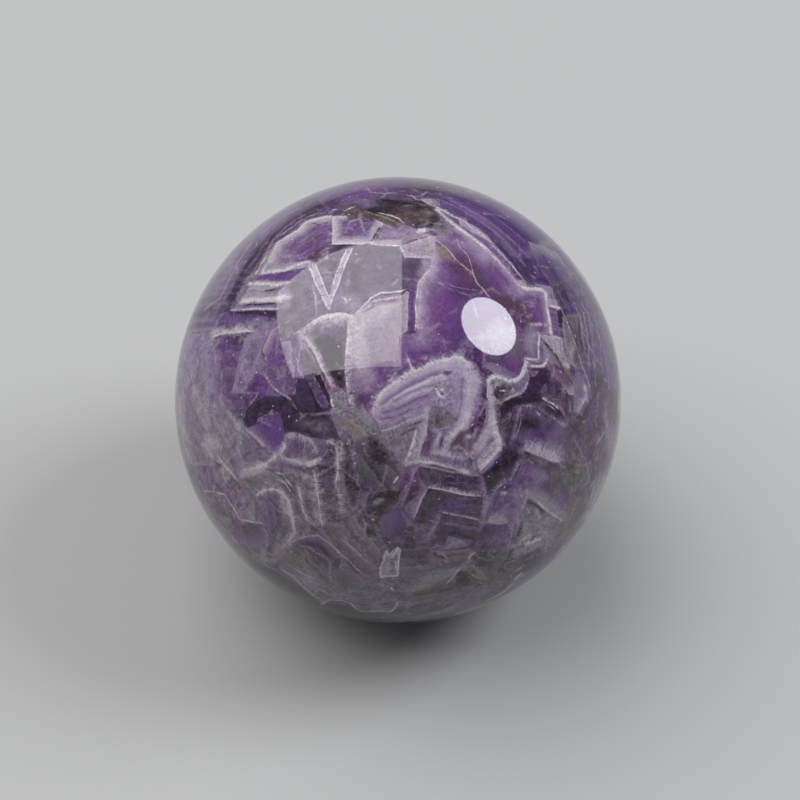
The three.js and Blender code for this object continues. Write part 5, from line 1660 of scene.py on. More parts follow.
def line_closeness(
    points: np.ndarray, line: np.ndarray, reach: tuple[float, float], taper: float
) -> tuple[np.ndarray, np.ndarray]:
    """Work out how close points are to a line of straight pieces: 1 on it, 0 beyond its reach.

    Args:
        points: Points, one a row.
        line: The line's points, one a row.
        reach: The distances at which closeness ends, on the line's left and right.
        taper: The length over which the line fades in at both its ends.

    Returns:
        One closeness a point, and how far along the line each point lies.
    """
    closeness = np.zeros(len(points))
    along = np.zeros(len(points))
    lengths = np.linalg.norm(np.diff(line, axis=0), axis=1)
    total = lengths.sum()
    gone = 0.0
    for start, run, length in zip(line[:-1], np.diff(line, axis=0), lengths):
        share = np.clip((points - start) @ run / (length * length), 0, 1)
        offset = points - start - share[:, None] * run
        away = np.linalg.norm(offset, axis=1) / np.where(offset @ np.cross(start, run) > 0, *reach)
        at = gone + share * length
        ends = np.clip(np.minimum(at, total - at) / taper + 0.3, 0, 1)
        here = np.clip(1 - away, 0, 1) * ends
        along = np.where(here > closeness, at, along)
        closeness = np.maximum(closeness, here)
        gone += length
    return closeness, along




# The ways of banding that crystals away from the face may have, the commoner ones more than once
GROWN_BANDS = (
    Bands.SHARP_RIM,
    Bands.NESTED_LINES,
    Bands.SOFT_EDGE,
    Bands.WHITE_EDGE,
    Bands.CLOUDED,
    Bands.DARK_GAPS,
    Bands.SOFT_EDGE,
    Bands.CLEAR,
)


@dataclass
class GrownCrystals:
    """Crystals over the whole ball, in domains that each grew one way, like rows of shingles."""

    blank: Blank
    seed: int = 7
    domains: int = 22
    crystals: int = 560
    behind: int = 150

    def lay(self) -> list[Crystal]:
        """Lay the crystals out, with those behind laid over the feet of those in front.

        Returns:
            The crystals in the order in which they are laid.
        """
        dice = np.random.default_rng(self.seed)
        poles = dice.normal(size=(self.domains, 3))
        poles /= np.linalg.norm(poles, axis=1)[:, None]
        ways = dice.normal(size=(self.domains, 3))
        seeds = dice.normal(size=(self.behind + self.crystals, 3))
        seeds /= np.linalg.norm(seeds, axis=1)[:, None]
        domain = np.argmax(seeds @ poles.T, 1)
        advance = np.einsum("ij,ij->i", seeds, ways[domain])
        sizes = np.where(np.arange(len(seeds)) < self.behind, dice.uniform(6.0, 9.0, len(seeds)),
                         dice.uniform(1.8, 5.6, len(seeds)))
        order = sorted(range(len(seeds)), key=lambda at: (at >= self.behind, domain[at], -advance[at]))
        return [self.grow(dice, seeds[at], ways[domain[at]], float(sizes[at])) for at in order]

    def grow(self, dice: np.random.Generator, seed: np.ndarray, way: np.ndarray, width: float) -> Crystal:
        """Grow one crystal: a pointed column seen in section.

        Args:
            dice: The source of its random sizes.
            seed: The unit direction of its middle.
            way: The direction in which its domain grew.
            width: Half its width in mm.

        Returns:
            The crystal.
        """
        ahead = way - (way @ seed) * seed
        ahead /= np.linalg.norm(ahead)
        side = np.cross(ahead, seed)
        tip = width * float(dice.uniform(0.5, 1.0))
        lean = float(dice.uniform(-0.45, 0.45)) * width
        foot = width * float(dice.uniform(1.0, 2.0))
        turn = float(dice.normal(0, 0.16))
        outline = [(-width, -foot), (width, -foot), (width, 0.0), (lean, tip), (-width, 0.0)]
        corners = []
        for x, y in outline:
            across = x * math.cos(turn) - y * math.sin(turn)
            up = x * math.sin(turn) + y * math.cos(turn)
            corners.append(seed * self.blank.radius + side * across + ahead * up)
        corners = np.array(corners)
        corners /= np.linalg.norm(corners, axis=1)[:, None]
        if not turning_left(corners):
            corners = corners[::-1]
        hue = noise.noise(Vector(seed * 1.3) + Vector((3.1, 0.2, 7.7))) + float(dice.normal(0, 0.10))
        grey = noise.noise(Vector(seed * 1.1) + Vector((13.1, 5.2, 1.7))) + float(dice.normal(0, 0.10))
        if grey > 0.28:
            rim, flesh, core = Tint.FIBRE_WHITE, Tint.GREY, Tint.BLUE_VIOLET
        elif hue > 0.22:
            rim, flesh, core = Tint.MILK, Tint.MAGENTA, Tint.RED_BROWN
        elif hue > -0.02:
            rim, flesh, core = Tint.MILK, Tint.VIOLET, Tint.DEEP_VIOLET
        elif hue > -0.22:
            rim, flesh, core = Tint.LILAC, Tint.BLUE_VIOLET, Tint.INK_VIOLET
        else:
            rim, flesh, core = Tint.WHITE_LINE, Tint.PALE_VIOLET, Tint.BLUE_VIOLET
        bands = GROWN_BANDS[int(dice.integers(0, len(GROWN_BANDS)))]
        return Crystal(
            corners=corners,
            growth=(2, 3, 1) if dice.random() < 0.4 else (2, 3),
            bands=bands,
            rim=rim,
            flesh=flesh,
            core=core,
            stretch=float(dice.uniform(0.6, 1.1)) * (0.35 + 0.15 * width),
            start=float(dice.uniform(0, 0.4)),
            fibre=float(dice.random() < 0.6) * float(dice.uniform(0.4, 0.9)),
            busy=0.9,
            shade=float(dice.uniform(0.65, 1.15)),
        )


@dataclass(frozen=True)
class BandSequence:
    """One order of growth bands, from a face inwards: where milk starts, and how fast it fades."""

    bands: Bands
    seed: int
    step: float  # mean distance between bands, in mm
    sharpness: float  # share of each step over which the milk fades
    low: float  # milkiness between bands
    high: float  # milkiness of the strongest bands
    fading: float  # mm over which the whole sequence fades; large for none
    depth: float = 12.0  # mm that it runs over

    def stops(self) -> list[tuple[float, float]]:
        """Work out the sequence's turning points.

        Returns:
            Pairs of depth share and milkiness, for a colour ramp of up to 32 stops.
        """
        dice = np.random.default_rng(self.seed)
        stops: list[tuple[float, float]] = []
        at = 0.0
        while len(stops) < 29 and at < self.depth:
            width = self.step * float(dice.uniform(0.45, 1.6))
            fade = math.exp(-at / self.fading)
            top = self.low + (self.high - self.low) * fade * float(dice.uniform(0.45, 1.0))
            if not stops:
                top = self.high
            line = min(0.22, 0.3 * width)
            stops.append((at / self.depth, top))
            stops.append(((at + line) / self.depth, top * 0.9 + self.low * 0.1))
            end = at + line + (width - line) * self.sharpness
            stops.append((min(end, self.depth) / self.depth, self.low))
            at += width
            stops.append((max(at - 0.05, end) / self.depth, self.low))
        return [stop for stop in stops if stop[0] <= 1][:31]


SEQUENCES = (
    BandSequence(Bands.SHARP_RIM, 3, 2.6, 0.25, 0.04, 0.95, 4.0),
    BandSequence(Bands.FINE_STRIPES, 5, 0.85, 0.5, 0.10, 0.85, 9.0),
    BandSequence(Bands.NESTED_LINES, 8, 1.7, 0.35, 0.06, 0.9, 14.0),
    BandSequence(Bands.MILKY_STEPS, 13, 1.6, 0.95, 0.15, 0.9, 10.0),
    BandSequence(Bands.DARK_GAPS, 21, 1.3, 0.8, 0.0, 0.75, 8.0),
    BandSequence(Bands.CLOUDED, 34, 3.2, 1.0, 0.06, 0.6, 12.0),
    BandSequence(Bands.CLEAR, 1, 9.0, 1.0, 0.0, 0.0, 9.0),
    BandSequence(Bands.WHITE_EDGE, 55, 5.5, 0.06, 0.02, 1.0, 1.5),
    BandSequence(Bands.SOFT_EDGE, 89, 3.6, 1.0, 0.03, 0.95, 2.5),
    BandSequence(Bands.SPECKLED, 1, 9.0, 1.0, 0.25, 0.25, 9.0),
)


@dataclass(frozen=True)
class ChevronAmethyst:
    """Chevron amethyst, polished: violet quartz with milky growth bands just under a glassy skin.

    Quartz has an index of refraction of 1.544, and a good polish leaves it nearly mirror smooth, so
    the eye sees small hard reflections over colour that lies still beneath them.
    """

    refraction: float = 1.544
    roughness: float = 0.035
    light_share: float = 0.8  # of a tint's brightness, because the studio's light is strong
    skin_share: float = 0.006  # of a tint's brightness, which the polish reflects and the body doesn't
    grain: float = 0.35  # mm, crystal grain inside milky bands
    fibre: float = 0.28  # mm between fibres
    line_spacing: float = 0.55  # mm between fine growth lines
    cell: float = 6.5  # mm across the cells that healed cracks enclose

    def material(self) -> bpy.types.Material:
        """Build the stone's material.

        Returns:
            The material.
        """
        stone = bpy.data.materials.new("polished_chevron_amethyst")
        stone.use_nodes = True
        tree = stone.node_tree
        tree.nodes.clear()
        colour = self.colour(tree)
        surface = add_node(
            tree,
            "ShaderNodeBsdfPrincipled",
            {"Roughness": self.roughness, "IOR": self.refraction},
            {"Base Color": colour},
        )
        add_node(tree, "ShaderNodeOutputMaterial", {}, {"Surface": surface.outputs[0]})
        return stone

    def attribute(self, tree: bpy.types.NodeTree, name: str) -> bpy.types.Node:
        """Read one of the mesh's attributes."""
        return add_node(tree, "ShaderNodeAttribute", {"attribute_name": name})

    def colour(self, tree: bpy.types.NodeTree) -> bpy.types.NodeSocket:
        """Work out the stone's colour.

        Args:
            tree: The material's tree.

        Returns:
            The socket that gives the colour.
        """
        place = self.in_millimetres(tree)
        along = self.attribute(tree, "along").outputs["Fac"]
        habit = self.attribute(tree, "habit")
        parts = add_node(tree, "ShaderNodeSeparateXYZ", {}, {0: habit.outputs["Vector"]})
        bands, fibre, seam = parts.outputs
        busy = habit.outputs["Alpha"]
        least = self.least_depth(tree)
        strands = self.strands(tree, least, along)
        depth = self.depth(tree, place, least, strands, fibre)
        grain = self.texture(tree, place, 1 / self.grain, 0.7)
        milk = self.milkiness(tree, depth, bands)
        fibred = self.fibred(tree, milk, strands, fibre)
        fine = self.sum(tree, "MULTIPLY", self.growth_lines(tree, depth, along), busy)
        lined = self.sum(tree, "MAXIMUM", fibred, fine)
        hazed = self.sum(tree, "MAXIMUM", lined, self.haze(tree, place, seam, busy))
        uneven = self.share(tree, grain, (0.32, 0.68, 0.78, 1.2))
        broken = self.sum(tree, "MULTIPLY", hazed, uneven)
        speckled = self.sum(tree, "COMPARE", bands, float(Bands.SPECKLED.value), 0.4)
        specks = self.sum(tree, "MULTIPLY", speckled, self.share(tree, grain, (0.52, 0.6, 0.0, 0.8)))
        white = self.sum(tree, "MAXIMUM", broken, specks)
        body = self.body(tree, place, depth, seam, busy)
        rim = self.attribute(tree, "rim_tint").outputs["Color"]
        banded = add_node(tree, "ShaderNodeMix", {"data_type": "RGBA"}, {0: white, 6: body, 7: rim})
        inked = self.inked(tree, self.healed(tree, place, banded.outputs[2]), grain, place)
        grained_and_glinting = self.grained_and_glinting(tree, inked, place, grain)
        skin = {"operation": "SUBTRACT", 1: (self.skin_share,) * 3}
        bare = add_node(tree, "ShaderNodeVectorMath", skin, {0: grained_and_glinting}).outputs[0]
        lit = {"operation": "SCALE", "Scale": self.light_share}
        scaled = add_node(tree, "ShaderNodeVectorMath", lit, {0: bare}).outputs[0]
        floor = {"operation": "MAXIMUM", 1: (0.004,) * 3}
        return add_node(tree, "ShaderNodeVectorMath", floor, {0: scaled}).outputs[0]

    def strands(
        self, tree: bpy.types.NodeTree, depth: bpy.types.NodeSocket, along: bpy.types.NodeSocket
    ) -> bpy.types.NodeSocket:
        """Fibres that stand square to the growth face, as noise from 0 to 1."""
        across = self.sum(tree, "MULTIPLY", along, 1 / self.fibre)
        inward = self.sum(tree, "MULTIPLY", depth, 0.35)
        grid = add_node(tree, "ShaderNodeCombineXYZ", {}, {0: across, 1: inward}).outputs[0]
        return self.texture(tree, grid, 0.9, 0.65)

    def grained_and_glinting(
        self,
        tree: bpy.types.NodeTree,
        under: bpy.types.NodeSocket,
        place: bpy.types.NodeSocket,
        grain: bpy.types.NodeSocket,
    ) -> bpy.types.NodeSocket:
        """Strew fine grain over a colour, and small white flecks that are painted glints.

        Args:
            tree: The material's tree.
            under: The colour under them.
            place: The place in the stone in mm.
            grain: The grain's noise.

        Returns:
            The socket that gives the colour with them.
        """
        fine = self.texture(tree, place, 2.6, 0.6)
        both = self.sum(tree, "ADD", self.share(tree, fine, (0.34, 0.66, -0.1, 0.1)),
                        self.share(tree, grain, (0.34, 0.66, 0.92, 1.08)))
        grained = add_node(
            tree, "ShaderNodeVectorMath", {"operation": "SCALE"}, {0: under, "Scale": both}
        ).outputs[0]
        # White dots in a few random cells: painted glints of light on the polish.
        cells = add_node(tree, "ShaderNodeTexVoronoi", {"Scale": 0.9}, {"Vector": place})
        chance = add_node(tree, "ShaderNodeSeparateXYZ", {}, {0: cells.outputs["Color"]}).outputs[0]
        chosen = self.share(tree, chance, (0.82, 0.84, 0.0, 1.0))
        glints = self.sum(tree, "MULTIPLY", chosen, self.share(tree, cells.outputs["Distance"], (0.06, 0.16, 0.8, 0.0)))
        white = {"data_type": "RGBA", 7: (*linear(Tint.WHITE_LINE.value), 1)}
        return add_node(tree, "ShaderNodeMix", white, {0: glints, 6: grained}).outputs[2]

    def growth_lines(
        self, tree: bpy.types.NodeTree, depth: bpy.types.NodeSocket, along: bpy.types.NodeSocket
    ) -> bpy.types.NodeSocket:
        """Draw fine lines parallel to the growth faces, which come and go along their length.

        Args:
            tree: The material's tree.
            depth: Depth under the growth faces in mm.
            along: Place along the first growth face in mm.

        Returns:
            The socket that gives their milkiness.
        """
        inward = self.sum(tree, "MULTIPLY", depth, 1 / self.line_spacing)
        run = self.sum(tree, "MULTIPLY", along, 0.22)
        grid = add_node(tree, "ShaderNodeCombineXYZ", {}, {0: inward, 1: run}).outputs[0]
        return self.share(tree, self.texture(tree, grid, 1.0, 0.6), (0.54, 0.70, 0.0, 0.75))

    def haze(
        self,
        tree: bpy.types.NodeTree,
        place: bpy.types.NodeSocket,
        seam: bpy.types.NodeSocket,
        busy: bpy.types.NodeSocket,
    ) -> bpy.types.NodeSocket:
        """Cloud the stone in patches, most where crystals meet.

        Args:
            tree: The material's tree.
            place: The place in the stone in mm.
            seam: Distance to the crystal's nearest edge in mm.
            busy: How much haze the crystal holds.

        Returns:
            The socket that gives the haze's milkiness.
        """
        patches = self.share(tree, self.texture(tree, place, 0.30, 0.7), (0.47, 0.72, 0.0, 0.55))
        wisps = self.texture(tree, place, 0.9, 0.75)
        meeting = self.share(tree, seam, (0.0, 0.7, 1.0, 0.0))
        edging = self.sum(tree, "MULTIPLY", meeting, self.share(tree, wisps, (0.46, 0.62, 0.0, 0.6)))
        torn = self.share(tree, wisps, (0.42, 0.64, 0.1, 1.0))
        clouded = self.sum(tree, "MULTIPLY", self.sum(tree, "MULTIPLY", patches, torn), busy)
        return self.sum(tree, "MAXIMUM", clouded, edging)

    def healed(
        self, tree: bpy.types.NodeTree, place: bpy.types.NodeSocket, under: bpy.types.NodeSocket
    ) -> bpy.types.NodeSocket:
        """Draw healed cracks: hair lines, white and broken, round cells a few millimetres wide.

        Args:
            tree: The material's tree.
            place: The place in the stone in mm.
            under: The colour under them.

        Returns:
            The socket that gives the colour with them.
        """
        bend = {"Scale": 0.35, "Detail": 3.0}
        drift = add_node(tree, "ShaderNodeTexNoise", bend, {"Vector": place}).outputs["Color"]
        bent = add_node(
            tree, "ShaderNodeVectorMath", {"operation": "MULTIPLY_ADD", 1: (1.5, 1.5, 1.5)}, {0: drift, 2: place}
        ).outputs[0]
        cells = {"feature": "DISTANCE_TO_EDGE", "Scale": 1 / self.cell}
        edge = add_node(tree, "ShaderNodeTexVoronoi", cells, {"Vector": bent}).outputs["Distance"]
        line = self.share(tree, edge, (0.012, 0.045, 1.0, 0.0))
        gaps = self.share(tree, self.texture(tree, place, 0.5, 0.6), (0.5, 0.64, 0.0, 0.4))
        cover = self.sum(tree, "MULTIPLY", line, gaps)
        white = (*linear(Tint.MILK.value), 1)
        mixed = {"data_type": "RGBA", 7: white}
        return add_node(tree, "ShaderNodeMix", mixed, {0: cover, 6: under}).outputs[2]

    def in_millimetres(self, tree: bpy.types.NodeTree) -> bpy.types.NodeSocket:
        """The place in the stone, in mm."""
        place = add_node(tree, "ShaderNodeTexCoord").outputs["Object"]
        scaled = {"operation": "SCALE", "Scale": 1 / MM}
        return add_node(tree, "ShaderNodeVectorMath", scaled, {0: place}).outputs[0]

    def texture(
        self, tree: bpy.types.NodeTree, place: bpy.types.NodeSocket, scale: float, rough: float
    ) -> bpy.types.NodeSocket:
        """Noise of so many lumps a millimetre, 0 to 1, with finer noise in it."""
        settings = {"Scale": scale, "Detail": 4.0, "Roughness": rough}
        return add_node(tree, "ShaderNodeTexNoise", settings, {"Vector": place}).outputs["Fac"]

    def share(
        self,
        tree: bpy.types.NodeTree,
        value: bpy.types.NodeSocket,
        spans: tuple[float, float, float, float],
    ) -> bpy.types.NodeSocket:
        """Bring a value from one span to another: from, to, new from and new to."""
        return add_node(tree, "ShaderNodeMapRange", dict(enumerate(spans, 1)), {0: value}).outputs[0]

    def sum(
        self, tree: bpy.types.NodeTree, operation: str, *terms: bpy.types.NodeSocket | float
    ) -> bpy.types.NodeSocket:
        """Reckon with sockets and plain numbers by one of the Math node's operations."""
        numbers = {at: term for at, term in enumerate(terms) if isinstance(term, float)}
        links = {at: term for at, term in enumerate(terms) if not isinstance(term, float)}
        return add_node(tree, "ShaderNodeMath", {"operation": operation, **numbers}, links).outputs[0]

    def fibred(
        self,
        tree: bpy.types.NodeTree,
        milk: bpy.types.NodeSocket,
        strands: bpy.types.NodeSocket,
        fibre: bpy.types.NodeSocket,
    ) -> bpy.types.NodeSocket:
        """Run fibres across the bands.

        Args:
            tree: The material's tree.
            milk: Milkiness without them.
            strands: The fibres' noise.
            fibre: How strong the fibres are, 0 to 1.

        Returns:
            The socket that gives milkiness with the fibres in it.
        """
        bright = self.share(tree, strands, (0.36, 0.62, 0.0, 1.0))
        loss = self.sum(tree, "MULTIPLY", self.sum(tree, "SUBTRACT", 1.0, bright), fibre)
        kept = self.sum(tree, "MULTIPLY_ADD", loss, -0.75, 1.0)
        thinned = self.sum(tree, "MULTIPLY", milk, kept)
        added = self.sum(tree, "MULTIPLY", self.sum(tree, "MULTIPLY", bright, fibre), 0.36)
        return self.sum(tree, "MAXIMUM", thinned, added)

    def body(
        self,
        tree: bpy.types.NodeTree,
        place: bpy.types.NodeSocket,
        depth: bpy.types.NodeSocket,
        seam: bpy.types.NodeSocket,
        busy: bpy.types.NodeSocket,
    ) -> bpy.types.NodeSocket:
        """Colour the stone between its bands.

        Args:
            tree: The material's tree.
            place: The place in the stone in mm.
            depth: Depth under the growth faces in mm.
            seam: Distance to the crystal's nearest edge in mm.
            busy: How mottled the crystal is.

        Returns:
            The socket that gives the colour.
        """
        flesh = self.attribute(tree, "flesh_tint").outputs["Color"]
        core = self.attribute(tree, "core_tint").outputs["Color"]
        deep = self.share(tree, depth, (0.6, 4.5, 0.0, 1.0))
        plain = add_node(
            tree, "ShaderNodeMix", {"data_type": "RGBA"}, {0: deep, 6: flesh, 7: core}
        ).outputs[2]
        wisps = self.texture(tree, place, 0.8, 0.7)
        blend = self.sum(tree, "MULTIPLY_ADD", wisps, -1.6, self.sum(tree, "ADD", seam, 0.8))
        apart = self.share(tree, blend, (-0.2, 0.9, 0.12, 1.0))
        ground = self.attribute(tree, "ground").outputs["Color"]
        met = {"data_type": "RGBA"}
        plain = add_node(tree, "ShaderNodeMix", met, {0: apart, 6: ground, 7: plain}).outputs[2]
        washed = self.over(tree, plain, self.attribute(tree, "wash"), None)
        drift = self.share(tree, self.texture(tree, place, 0.16, 0.6), (0.45, 0.65, 0.0, 0.25))
        violet = {"data_type": "RGBA", 7: (*linear(Tint.VIOLET.value), 1)}
        washed = add_node(tree, "ShaderNodeMix", violet, {0: drift, 6: washed}).outputs[2]
        dull = self.share(tree, self.texture(tree, place, 0.42, 0.7), (0.48, 0.62, 0.0, 0.5))
        greyed = {"data_type": "RGBA", 7: (*linear(Tint.GREY_CLEAR.value), 1)}
        dulled = self.sum(tree, "MULTIPLY", dull, busy)
        washed = add_node(tree, "ShaderNodeMix", greyed, {0: dulled, 6: washed}).outputs[2]
        mottle = self.texture(tree, place, 0.6, 0.75)
        finer = self.texture(tree, place, 2.2, 0.8)
        uneven = self.sum(
            tree, "ADD", self.share(tree, mottle, (0.38, 0.62, -0.45, 0.45)),
            self.share(tree, finer, (0.38, 0.62, -0.36, 0.36)),
        )
        lively = self.sum(tree, "MULTIPLY_ADD", busy, 0.75, 0.25)
        brightness = self.sum(tree, "MULTIPLY_ADD", uneven, lively, 1.0)
        return add_node(
            tree, "ShaderNodeVectorMath", {"operation": "SCALE"}, {0: washed, "Scale": brightness}
        ).outputs[0]

    def over(
        self,
        tree: bpy.types.NodeTree,
        under: bpy.types.NodeSocket,
        paint: bpy.types.Node,
        cover: bpy.types.NodeSocket | None,
    ) -> bpy.types.NodeSocket:
        """Lay a painted attribute, whose colour is scaled by its cover, over a colour.

        Args:
            tree: The material's tree.
            under: The colour under it.
            paint: The attribute's node.
            cover: A cover to use in place of the attribute's own.

        Returns:
            The socket that gives both together.
        """
        held = self.sum(tree, "MAXIMUM", paint.outputs["Alpha"], 0.001)
        whole = self.sum(tree, "DIVIDE", 1.0, held)
        pure = add_node(
            tree, "ShaderNodeVectorMath", {"operation": "SCALE"}, {0: paint.outputs["Color"], "Scale": whole}
        ).outputs[0]
        return add_node(
            tree,
            "ShaderNodeMix",
            {"data_type": "RGBA"},
            {0: cover or paint.outputs["Alpha"], 6: under, 7: pure},
        ).outputs[2]

    def inked(
        self,
        tree: bpy.types.NodeTree,
        under: bpy.types.NodeSocket,
        grain: bpy.types.NodeSocket,
        place: bpy.types.NodeSocket,
    ) -> bpy.types.NodeSocket:
        """Draw the veins over a colour, ragged along their edges and stronger here than there."""
        ink = self.attribute(tree, "ink")
        ragged = self.share(tree, grain, (0.36, 0.64, 0.55, 1.25))
        coming = self.share(tree, self.texture(tree, place, 0.7, 0.6), (0.38, 0.6, 0.6, 1.15))
        cover = self.sum(tree, "MULTIPLY", self.sum(tree, "MULTIPLY", ink.outputs["Alpha"], ragged), coming)
        strand = self.attribute(tree, "strand").outputs["Fac"]
        across = self.sum(tree, "MULTIPLY", strand, 1 / self.fibre)
        grid = add_node(tree, "ShaderNodeCombineXYZ", {}, {0: across}).outputs[0]
        bite = self.share(tree, self.texture(tree, grid, 0.9, 0.5), (0.36, 0.64, 0.0, 0.34))
        left = self.sum(tree, "SUBTRACT", cover, bite)
        drawn = self.share(tree, left, (0.0, 0.5, 0.0, 1.0))
        halo = self.sum(tree, "MULTIPLY", cover, 0.5)
        return self.over(tree, under, ink, self.sum(tree, "MAXIMUM", drawn, halo))

    def least_depth(self, tree: bpy.types.NodeTree) -> bpy.types.NodeSocket:
        """The depth under the nearest growth face, in mm."""
        least = None
        for name in ("near_faces", "far_faces"):
            vector = self.attribute(tree, name).outputs["Vector"]
            for value in add_node(tree, "ShaderNodeSeparateXYZ", {}, {0: vector}).outputs:
                least = value if least is None else self.sum(tree, "MINIMUM", least, value)
        return least

    def depth(
        self,
        tree: bpy.types.NodeTree,
        place: bpy.types.NodeSocket,
        least: bpy.types.NodeSocket,
        strands: bpy.types.NodeSocket,
        fibre: bpy.types.NodeSocket,
    ) -> bpy.types.NodeSocket:
        """Make the depth a little unsteady, as in nature, and feathered where fibres stand in it.

        Args:
            tree: The material's tree.
            place: The place in the stone in mm.
            least: The depth under the nearest growth face, in mm.
            strands: The fibres' noise.
            fibre: How strong the fibres are, 0 to 1.

        Returns:
            The socket that gives the depth.
        """
        sway = self.share(tree, self.texture(tree, place, 0.9, 0.6), (0.3, 0.7, -0.2, 0.3))
        feather = self.sum(tree, "MULTIPLY_ADD", fibre, 1.9, 0.25)
        pulled = self.sum(tree, "MULTIPLY", self.sum(tree, "SUBTRACT", strands, 0.5), feather)
        return self.sum(tree, "ADD", self.sum(tree, "ADD", least, sway), pulled)

    def milkiness(
        self,
        tree: bpy.types.NodeTree,
        depth: bpy.types.NodeSocket,
        bands: bpy.types.NodeSocket,
    ) -> bpy.types.NodeSocket:
        """Turn depth into milkiness by the crystal's own sequence of bands.

        Args:
            tree: The material's tree.
            depth: Depth under the growth faces in mm.
            bands: The number of the crystal's sequence.

        Returns:
            The socket that gives milkiness from 0 to 1.
        """
        share = add_node(
            tree, "ShaderNodeMath", {"operation": "MULTIPLY", 1: 1 / SEQUENCES[0].depth}, {0: depth}
        ).outputs[0]
        milk = None
        for sequence in SEQUENCES:
            ramp = add_node(tree, "ShaderNodeValToRGB", {}, {0: share})
            elements = ramp.color_ramp.elements
            stops = sequence.stops()
            elements[0].position = stops[0][0]
            elements[0].color = (stops[0][1],) * 3 + (1,)
            elements[1].position = stops[1][0]
            elements[1].color = (stops[1][1],) * 3 + (1,)
            for at, value in stops[2:]:
                stop = elements.new(at)
                stop.color = (value,) * 3 + (1,)
            if milk is None:
                milk = ramp.outputs[0]
                continue
            here = add_node(
                tree,
                "ShaderNodeMath",
                {"operation": "COMPARE", 1: float(sequence.bands.value), 2: 0.4},
                {0: bands},
            ).outputs[0]
            milk = add_node(
                tree, "ShaderNodeMix", {"data_type": "FLOAT"}, {0: here, 2: milk, 3: ramp.outputs[0]}
            ).outputs[0]
        return milk


